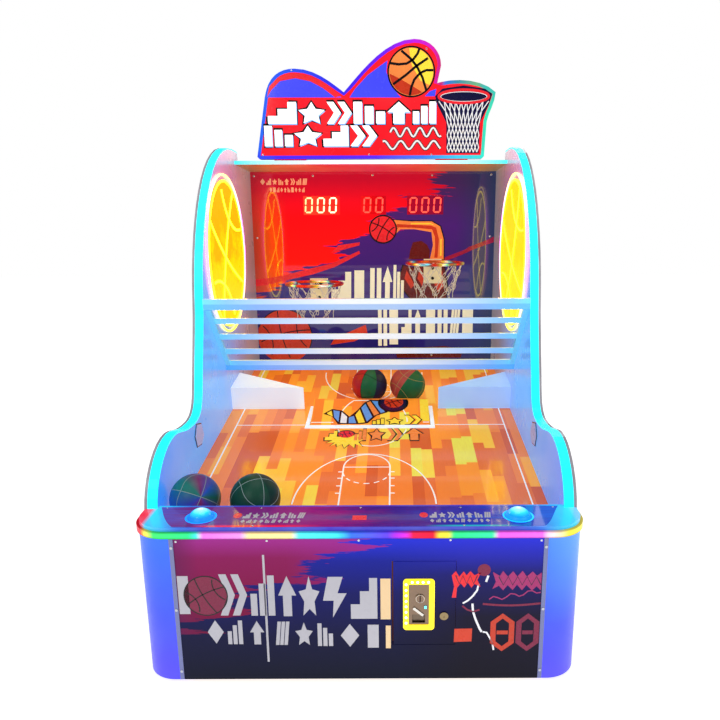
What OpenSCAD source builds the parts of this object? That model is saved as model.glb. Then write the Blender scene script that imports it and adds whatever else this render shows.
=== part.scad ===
// Two-player basketball hoop machine for children.
// Cabinet coordinates used by the modules: x from the centre plane, y back from the
// front face, z up from the underside of the cabinet. in_row() moves them to the
// part's own frame: origin on the floor at the middle of the footprint, +Z up.

/* [Cabinet] */
// Width over the two side panels
cab_w = 1250; // [1220:1:1280]
// Depth from the front face to the rear wall
cab_d = 1760; // [1750:1:1800]
// Height of the side panels
cab_h = 1575; // [1565:1:1585]
// Thickness of a side panel
panel_t = 37; // [34:1:40]
// Thickness of the boards
board_t = 18; // [16:1:19]
// Radius of the two front corners
corner_r = 95; // [80:1:100]
// Height of the front face, up to the light strip
front_h = 440; // [436:1:442]
// Height of the light strip round the front
strip_h = 19; // [17:1:20]
// How far the light strip stands proud of the cabinet
strip_out = 6; // [5:1:8]
// Height of the levelling feet
foot_h = 25; // [22:1:35]

/* [Deck and court] */
// Depth of the control deck
deck_d = 148; // [140:1:155]
// Height of the deck's top face
deck_top = 470; // [468:1:472]
// Slope of the court
court_angle = 8; // [7:0.5:9]
// Height of the court where it meets the deck
court_front_z = 372; // [365:1:378]
// Diameter of a start button's dome
button_d = 60; // [50:1:62]
// Travel of a start button
button_travel = 4; // [2:0.5:5]
// Diameter of a ball
ball_d = 152; // [145:1:155]

/* [Ball gate] */
// Distance of the gate's hinge from the front face
gate_y = 916; // [905:1:920]
// Width of the gate
gate_w = 480; // [460:1:500]
// Length of the gate
gate_len = 182; // [176:1:186]
// Angle of the raised gate to the court
gate_angle = 13; // [10:0.5:14]

/* [Guard and guides] */
// Distance of the guard's top rail from the front face
guard_top_y = 744; // [735:1:755]
// Height of the guard's top rail
guard_top_z = 986; // [975:1:995]
// Distance of the guard's bottom rail from the front face
guard_low_y = 1017; // [1005:1:1030]
// Height of the guard's bottom rail
guard_low_z = 706; // [695:1:715]
// Height of the ball guides above the court
guide_h = 97; // [85:1:105]
// Distance of the ball guides' front faces from the front face
guide_y = 1075; // [1072:1:1080]

/* [Hoops] */
// Radius of a rim, to the middle of its rod
rim_r = 130; // [120:1:135]
// Diameter of the rim's rod
rim_rod = 14; // [12:1:16]
// Distance of the hoops' centres from the front face
hoop_y = 1490; // [1480:1:1500]
// Place and height of the left and the right hoop
hoop_left = [-273, 992];
hoop_right = [288, 1085];

/* [Back and top] */
// Distance of the printed back panel from the front face
back_y = 1685; // [1680:1:1688]
// Distance of the ceiling's front edge from the front face
ceiling_y = 1380; // [1370:1:1390]
// Height of the ceiling's underside
ceiling_z = 1506; // [1502:1:1510]
// Thickness of the marquee
marquee_t = 46; // [40:1:50]
// Width of the marquee's light border
marquee_edge = 14; // [10:1:18]
// Radius of the round lights on the side walls
disc_r = 294; // [280:1:300]

/* [Coin door] */
// Width of the coin door
door_w = 173; // [168:1:176]
// Height of the coin door
door_h = 257; // [245:1:265]

/* [Hidden] */
$fn = 72;

half_w = cab_w / 2;
inner_x = half_w - panel_t;
rear_out = 4;
mid_y = (cab_d + rear_out - strip_out) / 2;
fit = 0.3;
run_fit = 0.05;

// Side panel edge
rim_w = 8.5;
led_t = 5;
post_d = 127;
post_t = 12;
trim_w = 12;
post_flat = 13;
wing = [335, 631];
waist = [480, 607];
lean_foot = [655, 690];
lean_top = [740, 1000];
crown = [1330, cab_h];
roof_z = 1531;
ceiling_front = 1516;
sign_z = 1538;

// Deck and buttons
slab_t = deck_top - front_h - strip_h;
button_x = 445;
button_y = 70;
bezel_h = 9;
barrel_r = 14;
barrel_len = 42;
stem_r = 10;

// Gate
pin_r = 4;
axis_drop = 9;
knuckle_r = 8;
skirt_t = 5;
gate_t = 8;
gate_frame_w = 16;
gate_bar = 25;
plunger_y = 118;
plunger_r = 8;

// Guard
rail_h = 39;
rail_d = 20;
bar_h = 21;
bar_d = 10;
stile_w = 20;

// Hoops
shelf_w = 88;
plate_t = 6;
plate_below = 109;
plate_above = 10;
bolt_drops = [35, 84];
bolt_r = 4;
net_len = 195;
net_r = 78;

// Displays, on the back panel: places across, and the sizes of the two kinds
display_z = 1350;
display_x = 250;
score_size = [176, 88];
timer_size = [122, 88];

// Light discs
disc_y = 1137;
disc_z = 1145;
disc_t = 6;

// Coin door
door_pivot = [99.5, 6];
door_z = 111.5;
edge_in = 6;
hinge_gap = 3.6;
door_gap = 1.5;
small_pin = 3;
frame_mid = [164.5, 238];
frame_size = [87, 156];
frame_hole = [57, 126];
slot_at = [168, 257];
cup = [164, 194];
cup_size = [40, 30];
flap_axis_z = cup[1] + 10.5;
lock_at = [235, 202];
lock_r = 9.5;
lever_at = [152, 226];
cam_len = 46;

// Rear door
rear_door_w = 500;
rear_door_h = 400;
rear_door_z = 50;
rear_pivot_x = 250;
rear_lock_at = [-215, 250];
inlet_at = [-420, 130];
socket_drop = 18;
switch_rise = 16;
screw_z = [28, 223, 412];

// ---- Placing helpers ----
module in_row() translate([0, -mid_y, foot_h]) children();
module right_side() in_row() children();
module left_side() in_row() mirror([1, 0, 0]) children();
module along_x(x0, len) translate([x0, 0, 0]) rotate([90, 0, 90]) linear_extrude(len) children();
module along_y(y0, len) translate([0, y0 + len, 0]) rotate([90, 0, 0]) linear_extrude(len) children();
module box(lo, hi) translate(lo) cube(hi - lo);
module rounded(size, r) {
    square([size[0] - 2 * r, size[1]], center = true);
    square([size[0], size[1] - 2 * r], center = true);
    for (x = [-1, 1], y = [-1, 1])
        translate([x * (size[0] / 2 - r), y * (size[1] / 2 - r)]) circle(r);
}

function court_z(y) = court_front_z + (y - deck_d) * tan(court_angle);
module on_court(y) translate([0, y, court_z(y)]) rotate([court_angle, 0, 0]) children();
module at_gate_axis() on_court(gate_y) translate([0, 0, -axis_drop]) children();

// ---- Curves ----
function bezier(p, n, first = 1) = [for (i = [first:n]) let (t = i / n, u = 1 - t)
    u * u * u * p[0] + 3 * u * u * t * p[1] + 3 * u * t * t * p[2] + t * t * t * p[3]];
function backwards(p) = [for (i = [len(p) - 1:-1:0]) p[i]];
// Points moved d to the right of the direction of travel
function moved_right(p, d) = [for (i = [0:len(p) - 1])
    let (s = p[min(i + 1, len(p) - 1)] - p[max(i - 1, 0)], t = s / norm(s))
    p[i] + d * [t[1], -t[0]]];

// Front and top edge of a side panel, from the deck up and back, as [y, z]
side_edge = concat(
    bezier([[post_d, deck_top], [140, 550], [225, wing[1]], wing], 9, 0),
    bezier([wing, [385, wing[1]], [430, waist[1] + 2], waist], 5),
    bezier([waist, [590, 598], [632, 610], lean_foot], 9),
    bezier([lean_foot, [680, 790], [728, 910], lean_top], 6),
    bezier([lean_top, [775, 1260], [960, cab_h], crown], 14),
    [[1426, cab_h - 3], [1434, cab_h - 10], [1438, roof_z], [cab_d, roof_z]]);
side_inset = moved_right(side_edge, led_t);

// Marquee outline as [x, z], clockwise from its lower left corner
marquee_line = concat(
    [[-482, sign_z], [-491, sign_z + 9], [-447, 1790]],
    bezier([[-447, 1790], [-430, 1868], [-385, 1900], [-318, 1900]], 8),
    bezier([[-318, 1900], [-235, 1900], [-170, 1850], [-112, 1807]], 6),
    bezier([[-112, 1807], [-50, 1870], [60, 2013], [186, 2013]], 9),
    bezier([[186, 2013], [255, 2013], [299, 1965], [299, 1910]], 8),
    [[284, 1842], [300, 1846]],
    bezier([[300, 1846], [370, 1862], [480, 1855], [532, 1805]], 6),
    bezier([[532, 1805], [530, 1760], [505, 1730], [497, 1689]], 4),
    [[489, sign_z + 9], [480, sign_z]]);

// ---- Cabinet shell ----
module side_outline(edge) polygon(concat([[post_d, 0], [post_d, deck_top]], edge, [[cab_d, 0]]));

module side_panel() color("white") {
    along_x(half_w - rim_w, rim_w) side_outline(side_edge);
    along_x(inner_x, panel_t - rim_w) side_outline(side_inset);
}

module side_led() color("cyan")
    along_x(inner_x + 0.5, panel_t - rim_w - 1)
        polygon(concat(side_edge, backwards(side_inset)));

module light_disc() color("gold")
    translate([inner_x - disc_t, disc_y, disc_z]) rotate([0, 90, 0]) cylinder(r = disc_r, h = disc_t);

// A band of thickness t whose outer face runs round the right front corner at radius r
module corner_band(r, t, z0, h, x0) {
    cx = half_w - corner_r;
    translate([cx, corner_r, z0]) intersection() {
        difference() {
            cylinder(r = r, h = h);
            translate([0, 0, -1]) cylinder(r = r - t, h = h + 2);
        }
        translate([0, -r - 1, -1]) cube([r + 1, r + 1, h + 2]);
    }
    box([x0, corner_r - r, z0], [cx, corner_r - r + t, z0 + h]);
    box([cx + r - t, corner_r, z0], [cx + r, post_d, z0 + h]);
}

// Holes or shanks for the trim screws, three on each side
module screw_row(r, y0, len) for (m = [0, 1], z = screw_z) mirror([m, 0, 0])
    translate([panel_x + trim_w / 2, y0, z]) rotate([-90, 0, 0]) cylinder(r = r, h = len);

module corner_post() color("lavender") difference() {
    corner_band(corner_r, post_t, 0, front_h, panel_x);
    screw_row(2.4, -1, post_t + 2);
}

module front_led_strip() color("magenta") in_row()
    for (m = [0, 1]) mirror([m, 0, 0])
        corner_band(corner_r + strip_out, 2 * strip_out - fit, front_h + fit, strip_h - 2 * fit, 0);

module base_board() color("tan") in_row() difference() {
    union() {
        linear_extrude(board_t) polygon([[-520, 20], [520, 20], [inner_x, 100], [inner_x, cab_d - board_t],
            [-inner_x, cab_d - board_t], [-inner_x, 100]]);
        for (x = [105, 235]) box([x, 30, board_t - 1], [x + 15, 280, door_z]);
    }
    for (x = [-540, 540], y = [100, cab_d - 100])
        translate([x, y, -1]) cylinder(r = 6.1, h = board_t + 2);
}

module feet() color("dimgray") in_row()
    for (x = [-540, 540], y = [100, cab_d - 100]) translate([x, y, -foot_h]) {
        cylinder(r = 24, h = 8);
        translate([0, 0, 8]) cylinder(r1 = 20, r2 = 12, h = 5);
        translate([0, 0, 12]) cylinder(r = 6, h = foot_h + 16);
        translate([0, 0, foot_h - 8]) cylinder(r = 11, h = 8, $fn = 6);
    }

panel_x = half_w - corner_r - post_flat - trim_w;
door_lo = [door_pivot[0] - edge_in - hinge_gap, door_z - door_gap];
door_hi = [door_pivot[0] - edge_in + door_w + door_gap, door_z + door_h + door_gap];

module front_panel() color("darkslateblue") in_row() difference() {
    box([-panel_x, 0, 0], [panel_x, board_t, front_h]);
    box([door_lo[0], -1, door_lo[1]], [door_hi[0], board_t + 1, door_hi[1]]);
    for (z = [door_lo[1] - 12, door_hi[1]])
        translate([door_pivot[0], door_pivot[1], z - 0.5]) cylinder(r = small_pin, h = 13);
}

module front_trims() color("silver") in_row() difference() {
    for (m = [0, 1]) mirror([m, 0, 0]) box([panel_x, -2, 2], [panel_x + trim_w, 0, front_h - 2]);
    screw_row(2.4, -3, 4);
}

module trim_screws() color("gray") in_row() {
    screw_row(4, -3.2, 1.2);
    screw_row(2.2, -2.5, 13);
}

// ---- Deck and start buttons ----
module deck_plan(inset) intersection() {
    translate([-half_w, 0]) square([cab_w, post_d]);
    union() {
        translate([-half_w + inset, corner_r]) square([cab_w - 2 * inset, post_d - corner_r]);
        translate([-half_w + corner_r, inset]) square([cab_w - 2 * corner_r, post_d - inset]);
        for (x = [-1, 1]) translate([x * (half_w - corner_r), corner_r]) circle(corner_r - inset);
    }
}

module control_deck() color("purple") in_row() difference() {
    union() {
        translate([0, 0, front_h + strip_h]) linear_extrude(slab_t) deck_plan(2);
        translate([0, 0, front_h]) linear_extrude(strip_h + 1) deck_plan(strip_out);
        box([-inner_x, post_d - 1, front_h], [inner_x, deck_d, deck_top]);
        box([-inner_x, deck_d - board_t, court_front_z - 30], [inner_x, deck_d, front_h + 1]);
    }
    for (x = [-button_x, button_x]) translate([x, button_y, front_h - 1])
        cylinder(r = barrel_r + 0.2, h = deck_top - front_h + 2);
}

module button_bezels() color("silver") in_row()
    for (x = [-button_x, button_x]) translate([x, button_y, deck_top]) difference() {
        union() {
            cylinder(r = button_d / 2 + 7, h = 3);
            translate([0, 0, 3]) cylinder(r1 = button_d / 2 + 7, r2 = button_d / 2 + 3, h = bezel_h - 3);
            translate([0, 0, -barrel_len]) cylinder(r = barrel_r, h = barrel_len + 1);
        }
        translate([0, 0, 1.5]) cylinder(r = button_d / 2 + 0.5, h = bezel_h);
        translate([0, 0, -barrel_len - 1]) cylinder(r = stem_r + run_fit, h = barrel_len + 4);
    }

module start_button(x) color("aqua") in_row() translate([x, button_y, deck_top + 1.5 + button_travel + 0.5]) {
    cap_h = 5;
    dome_h = 15;
    dome_r = (button_d * button_d / 4 + dome_h * dome_h) / (2 * dome_h);
    cylinder(r = button_d / 2, h = cap_h);
    translate([0, 0, cap_h + dome_h - dome_r]) intersection() {
        sphere(r = dome_r, $fn = 96);
        translate([0, 0, dome_r - dome_h]) cylinder(r = button_d / 2, h = dome_h + 1);
    }
    translate([0, 0, -barrel_len]) cylinder(r = stem_r, h = barrel_len + 1);
}

// ---- Court, guides and gate ----
court_len = (back_y + 12 - deck_d) / cos(court_angle);
well_w = gate_w / 2 + 3;
well_front = 9;
pin_hold = 12;

module court_floor() color("orange") in_row() difference() {
    on_court(deck_d) box([-inner_x + fit, fit, -board_t], [inner_x - fit, court_len, 0]);
    on_court(gate_y) box([-well_w, -well_front, -board_t - 5], [well_w, gate_len + 4, 5]);
    gate_pin(pin_hold + 1);
}

// The gate's hinge pin, held in the court on both sides of the well
module gate_pin(hold) at_gate_axis() translate([-well_w - hold, 0, 0]) rotate([0, 90, 0])
    cylinder(r = pin_r, h = 2 * (well_w + hold));

module ball_guide() color("whitesmoke")
    on_court(guide_y) translate([0, 0, 0.2]) linear_extrude(guide_h)
        polygon([[inner_x - 0.2, 0], [283, 0], [inner_x - 0.2, 182]]);

module gate_frame() color("white") in_row() on_court(gate_y) linear_extrude(3) {
    translate([-well_w - gate_frame_w, -gate_bar - well_front]) square([2 * (well_w + gate_frame_w), gate_bar]);
    for (m = [0, 1]) mirror([m, 0]) translate([well_w, -well_front - 1]) square([gate_frame_w, gate_len + 10]);
}

module gate_panel() color("darkorange") in_row() at_gate_axis() rotate([gate_angle, 0, 0]) {
    difference() {
        union() {
            box([-gate_w / 2, -5, axis_drop - gate_t], [gate_w / 2, gate_len - 0.5, axis_drop]);
            for (x = [-150, 0, 150]) translate([x - 25, 0, 0]) {
                rotate([0, 90, 0]) cylinder(r = knuckle_r, h = 50);
                translate([0, 2 - knuckle_r, 0]) cube([50, 2 * knuckle_r - 2, axis_drop - 1]);
            }
        }
        translate([-gate_w / 2 - 1, 0, 0]) rotate([0, 90, 0]) cylinder(r = pin_r + run_fit, h = gate_w + 2);
    }
    // Curved skirt, a drum about the hinge, that closes the gap below the raised edge
    intersection() {
        translate([-gate_w / 2, 0, 0]) rotate([0, 90, 0]) difference() {
            cylinder(r = gate_len, h = gate_w, $fn = 144);
            translate([0, 0, -1]) cylinder(r = gate_len - skirt_t, h = gate_w + 2, $fn = 144);
        }
        box([-gate_w / 2, 0, -58], [gate_w / 2, gate_len + 1, axis_drop - 1]);
    }
}

// Saddles under the court's front edge that carry the pin between the gate's knuckles
module gate_hinge_blocks() color("gray") in_row() difference() {
    at_gate_axis() for (x = [-200, -75, 75, 200]) {
        box([x - 15, -36, -24], [x + 15, 8, axis_drop - board_t - 0.2]);
        box([x - 15, -well_front + 0.3, -24], [x + 15, 8, -1.8]);
    }
    gate_pin(pin_hold);
}

// Hanging bracket and coil that pull the gate down; the plunger slides in its bore
module gate_solenoid() color("slategray") in_row() on_court(gate_y) translate([0, plunger_y, 0]) difference() {
    union() {
        box([-32, -32, -190], [32, 32, -100]);
        box([-well_w - 40, -20, -196], [well_w + 40, 20, -189]);
        for (m = [0, 1]) mirror([m, 0, 0]) {
            box([well_w + 34, -20, -190], [well_w + 40, 20, -board_t - 0.2]);
            box([well_w + 12, -20, -board_t - 6], [well_w + 40, 20, -board_t - 0.2]);
        }
    }
    translate([0, 0, -197]) cylinder(r = plunger_r + run_fit, h = 100);
}

module gate_plunger() color("silver") in_row() on_court(gate_y) translate([0, plunger_y, 0]) {
    translate([0, 0, -150]) cylinder(r = plunger_r, h = 160);
    translate([0, 0, 9]) cylinder(r = 14, h = 6);
}

// ---- Guard across the play field ----
// Rails, end stiles and three bars, welded together
module guard_frame() color("aliceblue") in_row() {
    box([-inner_x + fit, guard_top_y - rail_d / 2, guard_top_z - rail_h / 2],
        [inner_x - fit, guard_top_y + rail_d / 2, guard_top_z + rail_h / 2]);
    box([-inner_x + fit, guard_low_y - rail_d / 2, guard_low_z - rail_h / 2],
        [inner_x - fit, guard_low_y + rail_d / 2, guard_low_z + rail_h / 2]);
    for (m = [0, 1]) mirror([m, 0, 0]) along_x(inner_x - stile_w, stile_w - fit)
        polygon([[guard_top_y - 10, guard_top_z], [guard_top_y + 10, guard_top_z],
            [guard_low_y + 10, guard_low_z], [guard_low_y - 10, guard_low_z]]);
    for (k = [1:3])
        translate([0, guard_top_y + (guard_low_y - guard_top_y) * k / 4,
            guard_top_z + (guard_low_z - guard_top_z) * k / 4])
            cube([2 * (inner_x - stile_w) + 2, bar_d, bar_h], center = true);
}

// ---- Back and top ----
module display_window(size) along_y(back_y - 1, 12) translate([0, display_z]) square(size, center = true);

module back_panel() color("crimson") in_row() difference() {
    box([-inner_x + fit, back_y, court_z(back_y) + 2], [inner_x - fit, back_y + 8, ceiling_z]);
    display_window(timer_size);
    for (x = [-display_x, display_x]) translate([x, 0, 0]) display_window(score_size);
    for (h = [hoop_left, hoop_right], drop = bolt_drops)
        translate([h[0], back_y - 1, h[1] - drop]) rotate([-90, 0, 0]) cylinder(r = bolt_r + 0.2, h = 10);
}

module display_module(size) {
    box([-size[0] / 2 + fit, back_y + 1, display_z - size[1] / 2 + fit],
        [size[0] / 2 - fit, back_y + 26, display_z + size[1] / 2 - fit]);
}

module score_displays() color("darkred") in_row() {
    for (x = [-display_x, display_x]) translate([x, 0, 0]) display_module(score_size);
    display_module(timer_size);
}

rear_lo = [rear_pivot_x + edge_in - rear_door_w - door_gap, rear_door_z - door_gap];
rear_hi = [rear_pivot_x + edge_in + hinge_gap, rear_door_z + rear_door_h + door_gap];

module rear_wall() color("dimgray") in_row() difference() {
    box([-inner_x, cab_d - board_t, 0], [inner_x, cab_d, ceiling_z]);
    box([rear_lo[0], cab_d - board_t - 1, rear_lo[1]], [rear_hi[0], cab_d + 1, rear_hi[1]]);
    for (z = [rear_lo[1] - 12, rear_hi[1]])
        translate([rear_pivot_x, cab_d - door_pivot[1], z - 0.5]) cylinder(r = small_pin, h = 13);
    translate([inlet_at[0], 0, inlet_at[1]]) along_y(cab_d - board_t - 1, board_t + 2) rounded([48, 69], 3);
    for (x = [-1, 1], k = [-4:4])
        translate([x * 350, 0, 1400 + 16 * k]) along_y(cab_d - board_t - 1, board_t + 2) rounded([160, 7], 3.4);
}

module top_panel() color("white") in_row()
    along_x(-inner_x, 2 * inner_x) polygon([[ceiling_y, roof_z], [ceiling_y, ceiling_front],
        [back_y, ceiling_z], [cab_d, ceiling_z], [cab_d, roof_z]]);

module top_rail() color("lightcyan") in_row()
    box([-inner_x, ceiling_y - 14, ceiling_front], [inner_x, ceiling_y, roof_z - 1]);

marquee_y = ceiling_y + 5;

module sign_inside(edge) intersection() {
    polygon(moved_right(marquee_line, edge));
    translate([-cab_w / 2, sign_z + edge]) square([cab_w, 600]);
}

module marquee_box() color("firebrick") in_row() {
    along_y(marquee_y + 6, marquee_t - 6) polygon(marquee_line);
    along_y(marquee_y, 6) sign_inside(marquee_edge + fit);
    for (x = [-420, 280]) box([x, marquee_y + 10, roof_z], [x + 140, marquee_y + marquee_t - 6, sign_z + 1]);
}

module marquee_led() color("deepskyblue") in_row() along_y(marquee_y, 6 - fit) difference() {
    polygon(marquee_line);
    sign_inside(marquee_edge);
}

// ---- Hoops ----
module rim(h) color("orangered") in_row() translate([h[0], hoop_y, h[1]]) {
    rotate_extrude($fn = 96) translate([rim_r, 0]) circle(rim_rod / 2, $fn = 32);
    difference() {
        box([-shelf_w / 2, rim_r - 12, -4], [shelf_w / 2, back_y - plate_t - hoop_y, 2]);
        translate([0, 0, -5]) cylinder(r = rim_r, h = 8);
    }
}

module hoop_plates() color("ivory") in_row() for (h = [hoop_left, hoop_right]) difference() {
    box([h[0] - shelf_w / 2, back_y - plate_t, h[1] - plate_below],
        [h[0] + shelf_w / 2, back_y, h[1] + plate_above]);
    for (drop = bolt_drops) translate([h[0], back_y - plate_t - 1, h[1] - drop])
        rotate([-90, 0, 0]) cylinder(r = bolt_r + 0.2, h = plate_t + 2);
}

module hoop_bolts() color("black") in_row() for (h = [hoop_left, hoop_right], drop = bolt_drops)
    translate([h[0], back_y - plate_t, h[1] - drop]) rotate([-90, 0, 0]) {
        translate([0, 0, -5]) cylinder(r = 7.5, h = 5);
        cylinder(r = bolt_r, h = plate_t + 24);
        translate([0, 0, plate_t + 8]) cylinder(r = 7.5, h = 6, $fn = 6);
    }

module net(h) color("lightgray") in_row() translate([h[0], hoop_y, h[1] - rim_rod / 2 - fit])
    rotate_extrude() polygon([[rim_r - 5, 0], [rim_r - 1, 0], [net_r + 4, -net_len], [net_r, -net_len]]);

module score_sensors() color("black") in_row() for (h = [hoop_left, hoop_right])
    translate([h[0], back_y - plate_t, h[1] - 4]) {
        box([-16, -34, -22], [16, 0, -0.2]);
        translate([0, -36, -11]) rotate([-90, 0, 0]) cylinder(r = 5, h = 3);
    }

// ---- Coin door ----
// A leaf whose vertical pivot is at the origin; its outer face is at y = -edge_in
module door_leaf(w, h) difference() {
    box([-edge_in, -edge_in, 0], [w - edge_in, board_t - edge_in, h]);
    for (z = [-1, h - 12]) translate([0, 0, z]) cylinder(r = small_pin + run_fit, h = 13);
}

module on_front(p) translate([p[0], 0, p[1]]) children();

module coin_door() color("midnightblue") in_row() difference() {
    translate([door_pivot[0], door_pivot[1], door_z]) door_leaf(door_w, door_h);
    on_front(cup) along_y(-1, board_t + 2) square(cup_size + [3, 3], center = true);
    on_front(lock_at) along_y(-1, board_t + 2) circle(lock_r + run_fit);
    on_front(lever_at) along_y(-1, board_t + 2) circle(9);
    on_front(slot_at) along_y(-1, board_t + 2) square([8, 34], center = true);
}

module coin_light_frame() color("yellow") in_row() on_front(frame_mid) along_y(-5, 5) difference() {
    rounded(frame_size, 10);
    square(frame_hole, center = true);
}

module coin_plate() color("tan") in_row() difference() {
    union() {
        on_front(frame_mid) along_y(-2, 2) square(frame_hole - [0.6, 0.6], center = true);
        on_front(slot_at) along_y(-4.5, 3) circle(12);
        on_front([183, 230]) along_y(-3.5, 2) square([8, 9], center = true);
        on_front(cup) along_y(-0.5, 34) square(cup_size, center = true);
    }
    on_front(cup) along_y(-3, 34) square(cup_size - [4, 4], center = true);
    on_front([cup[0], flap_axis_z]) rotate([0, 90, 0]) translate([0, 6, -cup_size[0] / 2 - 1])
        cylinder(r = 1.5 + run_fit, h = cup_size[0] + 2);
    on_front(slot_at) along_y(-6, 10) square([3, 18], center = true);
    on_front(lever_at) along_y(-3, 4) circle(4 + run_fit);
}

module coin_return_flap() color("gray") in_row() on_front([cup[0], flap_axis_z]) translate([0, 6, 0]) {
    rotate([0, 90, 0]) translate([0, 0, -cup_size[0] / 2 + 0.3]) cylinder(r = 1.5, h = cup_size[0] - 0.6);
    box([-cup_size[0] / 2 + 2.5, -1, -flap_axis_z + cup[1] - cup_size[1] / 2 + 2.8],
        [cup_size[0] / 2 - 2.5, 1, 0]);
}

module reject_lever() color("silver") in_row() on_front(lever_at) {
    along_y(-5.2, 10) circle(4);
    along_y(-5.2, 2.6) rotate(-40) translate([-2, -3.5]) square([34, 7]);
    along_y(4, 3) circle(7);
}

// Cam lock seen from its key side, with the cam hanging down
module cam_lock() color("silver") {
    difference() {
        along_y(-4, 4 - fit) circle(12);
        along_y(-5, 4) square([1.6, 9], center = true);
    }
    along_y(-1, board_t + 2.5) circle(lock_r);
    along_y(board_t + 1, 3) translate([-8, -cam_len]) square([16, cam_len]);
}

module door_lock() in_row() on_front(lock_at) cam_lock();

module cash_box() color("dimgray") in_row() difference() {
    box([105, 50, door_z + 0.3], [250, 270, door_z + 110]);
    box([107, 52, door_z + 2.3], [248, 268, door_z + 111]);
}

// ---- Rear service parts ----
module rear_door() color("dimgray") in_row() difference() {
    translate([rear_pivot_x, cab_d - door_pivot[1], rear_door_z]) rotate([0, 0, 180])
        door_leaf(rear_door_w, rear_door_h);
    for (k = [-5:5]) translate([0, 0, 250 + 18 * k])
        along_y(cab_d - board_t - 1, board_t + 2) rounded([200, 8], 3.9);
    translate([rear_lock_at[0], 0, rear_lock_at[1]])
        along_y(cab_d - board_t - 1, board_t + 2) circle(lock_r + run_fit);
}

module rear_lock() in_row() translate([rear_lock_at[0], cab_d, rear_lock_at[1]]) rotate([0, 0, 180]) cam_lock();

// Mains socket with the switch's housing above it
module power_inlet() color("black") in_row() translate([inlet_at[0], 0, inlet_at[1]]) difference() {
    union() {
        along_y(cab_d - 30, 31) rounded([47, 68], 3);
        along_y(cab_d, 2) rounded([58, 79], 4);
    }
    translate([0, 0, -socket_drop]) along_y(cab_d - 18, 22) rounded([25, 17], 2);
    translate([0, 0, switch_rise]) along_y(cab_d - 16, 20) square([22, 31], center = true);
    translate([0, cab_d - 4, switch_rise]) along_x(-14, 28) circle(2 + run_fit);
}

module power_switch() color("red") in_row()
    translate([inlet_at[0], cab_d - 4, inlet_at[1] + switch_rise]) rotate([10, 0, 0]) {
        along_x(-10, 20) polygon([[-7, -11], [-7, 11], [4.5, 13.5], [1.5, 0], [4.5, -13.5]]);
        along_x(-13.5, 27) circle(2);
    }

module power_supply() color("silver") in_row() box([-420, 1380, board_t], [-205, 1495, board_t + 50]);

module control_board() color("darkgreen") in_row() translate([150, 1360, board_t]) {
    for (x = [8, 212], y = [8, 152]) translate([x, y, 0]) cylinder(r = 4, h = 12);
    box([0, 0, 12], [220, 160, 13.6]);
    for (k = [0:4]) box([20 + 38 * k, 120, 13.6], [46 + 38 * k, 142, 24]);
    box([60, 50, 13.6], [110, 90, 17]);
    box([140, 40, 13.6], [190, 95, 30]);
}

module speakers() color("black") in_row() for (x = [-430, 330]) translate([x, 40, board_t]) difference() {
    cube([130, 130, 150]);
    translate([65, -1, 80]) rotate([-90, 0, 0]) cylinder(r1 = 50, r2 = 30, h = 31);
}

// Steel pins of the gate and of the two doors
module hinge_pins() color("lightgray") in_row() {
    gate_pin(pin_hold);
    for (z = [door_lo[1] - 12, door_hi[1] - 12])
        translate([door_pivot[0], door_pivot[1], z]) cylinder(r = small_pin, h = 24);
    for (z = [rear_lo[1] - 12, rear_hi[1] - 12])
        translate([rear_pivot_x, cab_d - door_pivot[1], z]) cylinder(r = small_pin, h = 24);
}

// ---- Balls ----
lift = ball_d / 2 + 0.4;
front_ball_y = deck_d + lift;
lip = [gate_len * cos(gate_angle) - axis_drop * sin(gate_angle),
    gate_len * sin(gate_angle) + axis_drop * cos(gate_angle) - axis_drop];
held_run = lip[0] + sqrt(pow(ball_d / 2 + 1, 2) - pow(lift - lip[1], 2));
held_y = gate_y + held_run * cos(court_angle) - lift * sin(court_angle);

module ball(x, y) color("seagreen") in_row()
    translate([x, y, court_z(y) + lift / cos(court_angle)]) sphere(r = ball_d / 2, $fn = 96);

left_side() side_panel();  // side_panel_left
right_side() side_panel();  // side_panel_right
left_side() side_led();  // side_led_left
right_side() side_led();  // side_led_right
left_side() light_disc();  // light_disc_left
right_side() light_disc();  // light_disc_right
left_side() corner_post();  // corner_post_left
right_side() corner_post();  // corner_post_right
base_board();
feet();
front_panel();
front_trims();
trim_screws();
front_led_strip();
control_deck();
button_bezels();
start_button(-button_x);  // start_button_left
start_button(button_x);  // start_button_right
court_floor();
left_side() ball_guide();  // ball_guide_left
right_side() ball_guide();  // ball_guide_right
gate_panel();
gate_frame();
gate_hinge_blocks();
gate_solenoid();
gate_plunger();
guard_frame();
back_panel();
rear_wall();
top_panel();
top_rail();
score_displays();
marquee_box();
marquee_led();
rim(hoop_left);  // hoop_left_rim
rim(hoop_right);  // hoop_right_rim
hoop_plates();
hoop_bolts();
net(hoop_left);  // net_left
net(hoop_right);  // net_right
score_sensors();
coin_door();
coin_plate();
coin_light_frame();
coin_return_flap();
reject_lever();
door_lock();
cash_box();
rear_door();
rear_lock();
hinge_pins();
power_inlet();
power_switch();
power_supply();
control_board();
speakers();
ball(-506, front_ball_y);  // ball_1
ball(-324, front_ball_y);  // ball_2
ball(-9, held_y);  // ball_3
ball(155, held_y);  // ball_4
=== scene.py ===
"""Looks for the basketball hoop machine: materials, printed artwork, lights, nets and balls."""

import math

import bmesh
import bpy
from mathutils import Matrix, Vector


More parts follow.
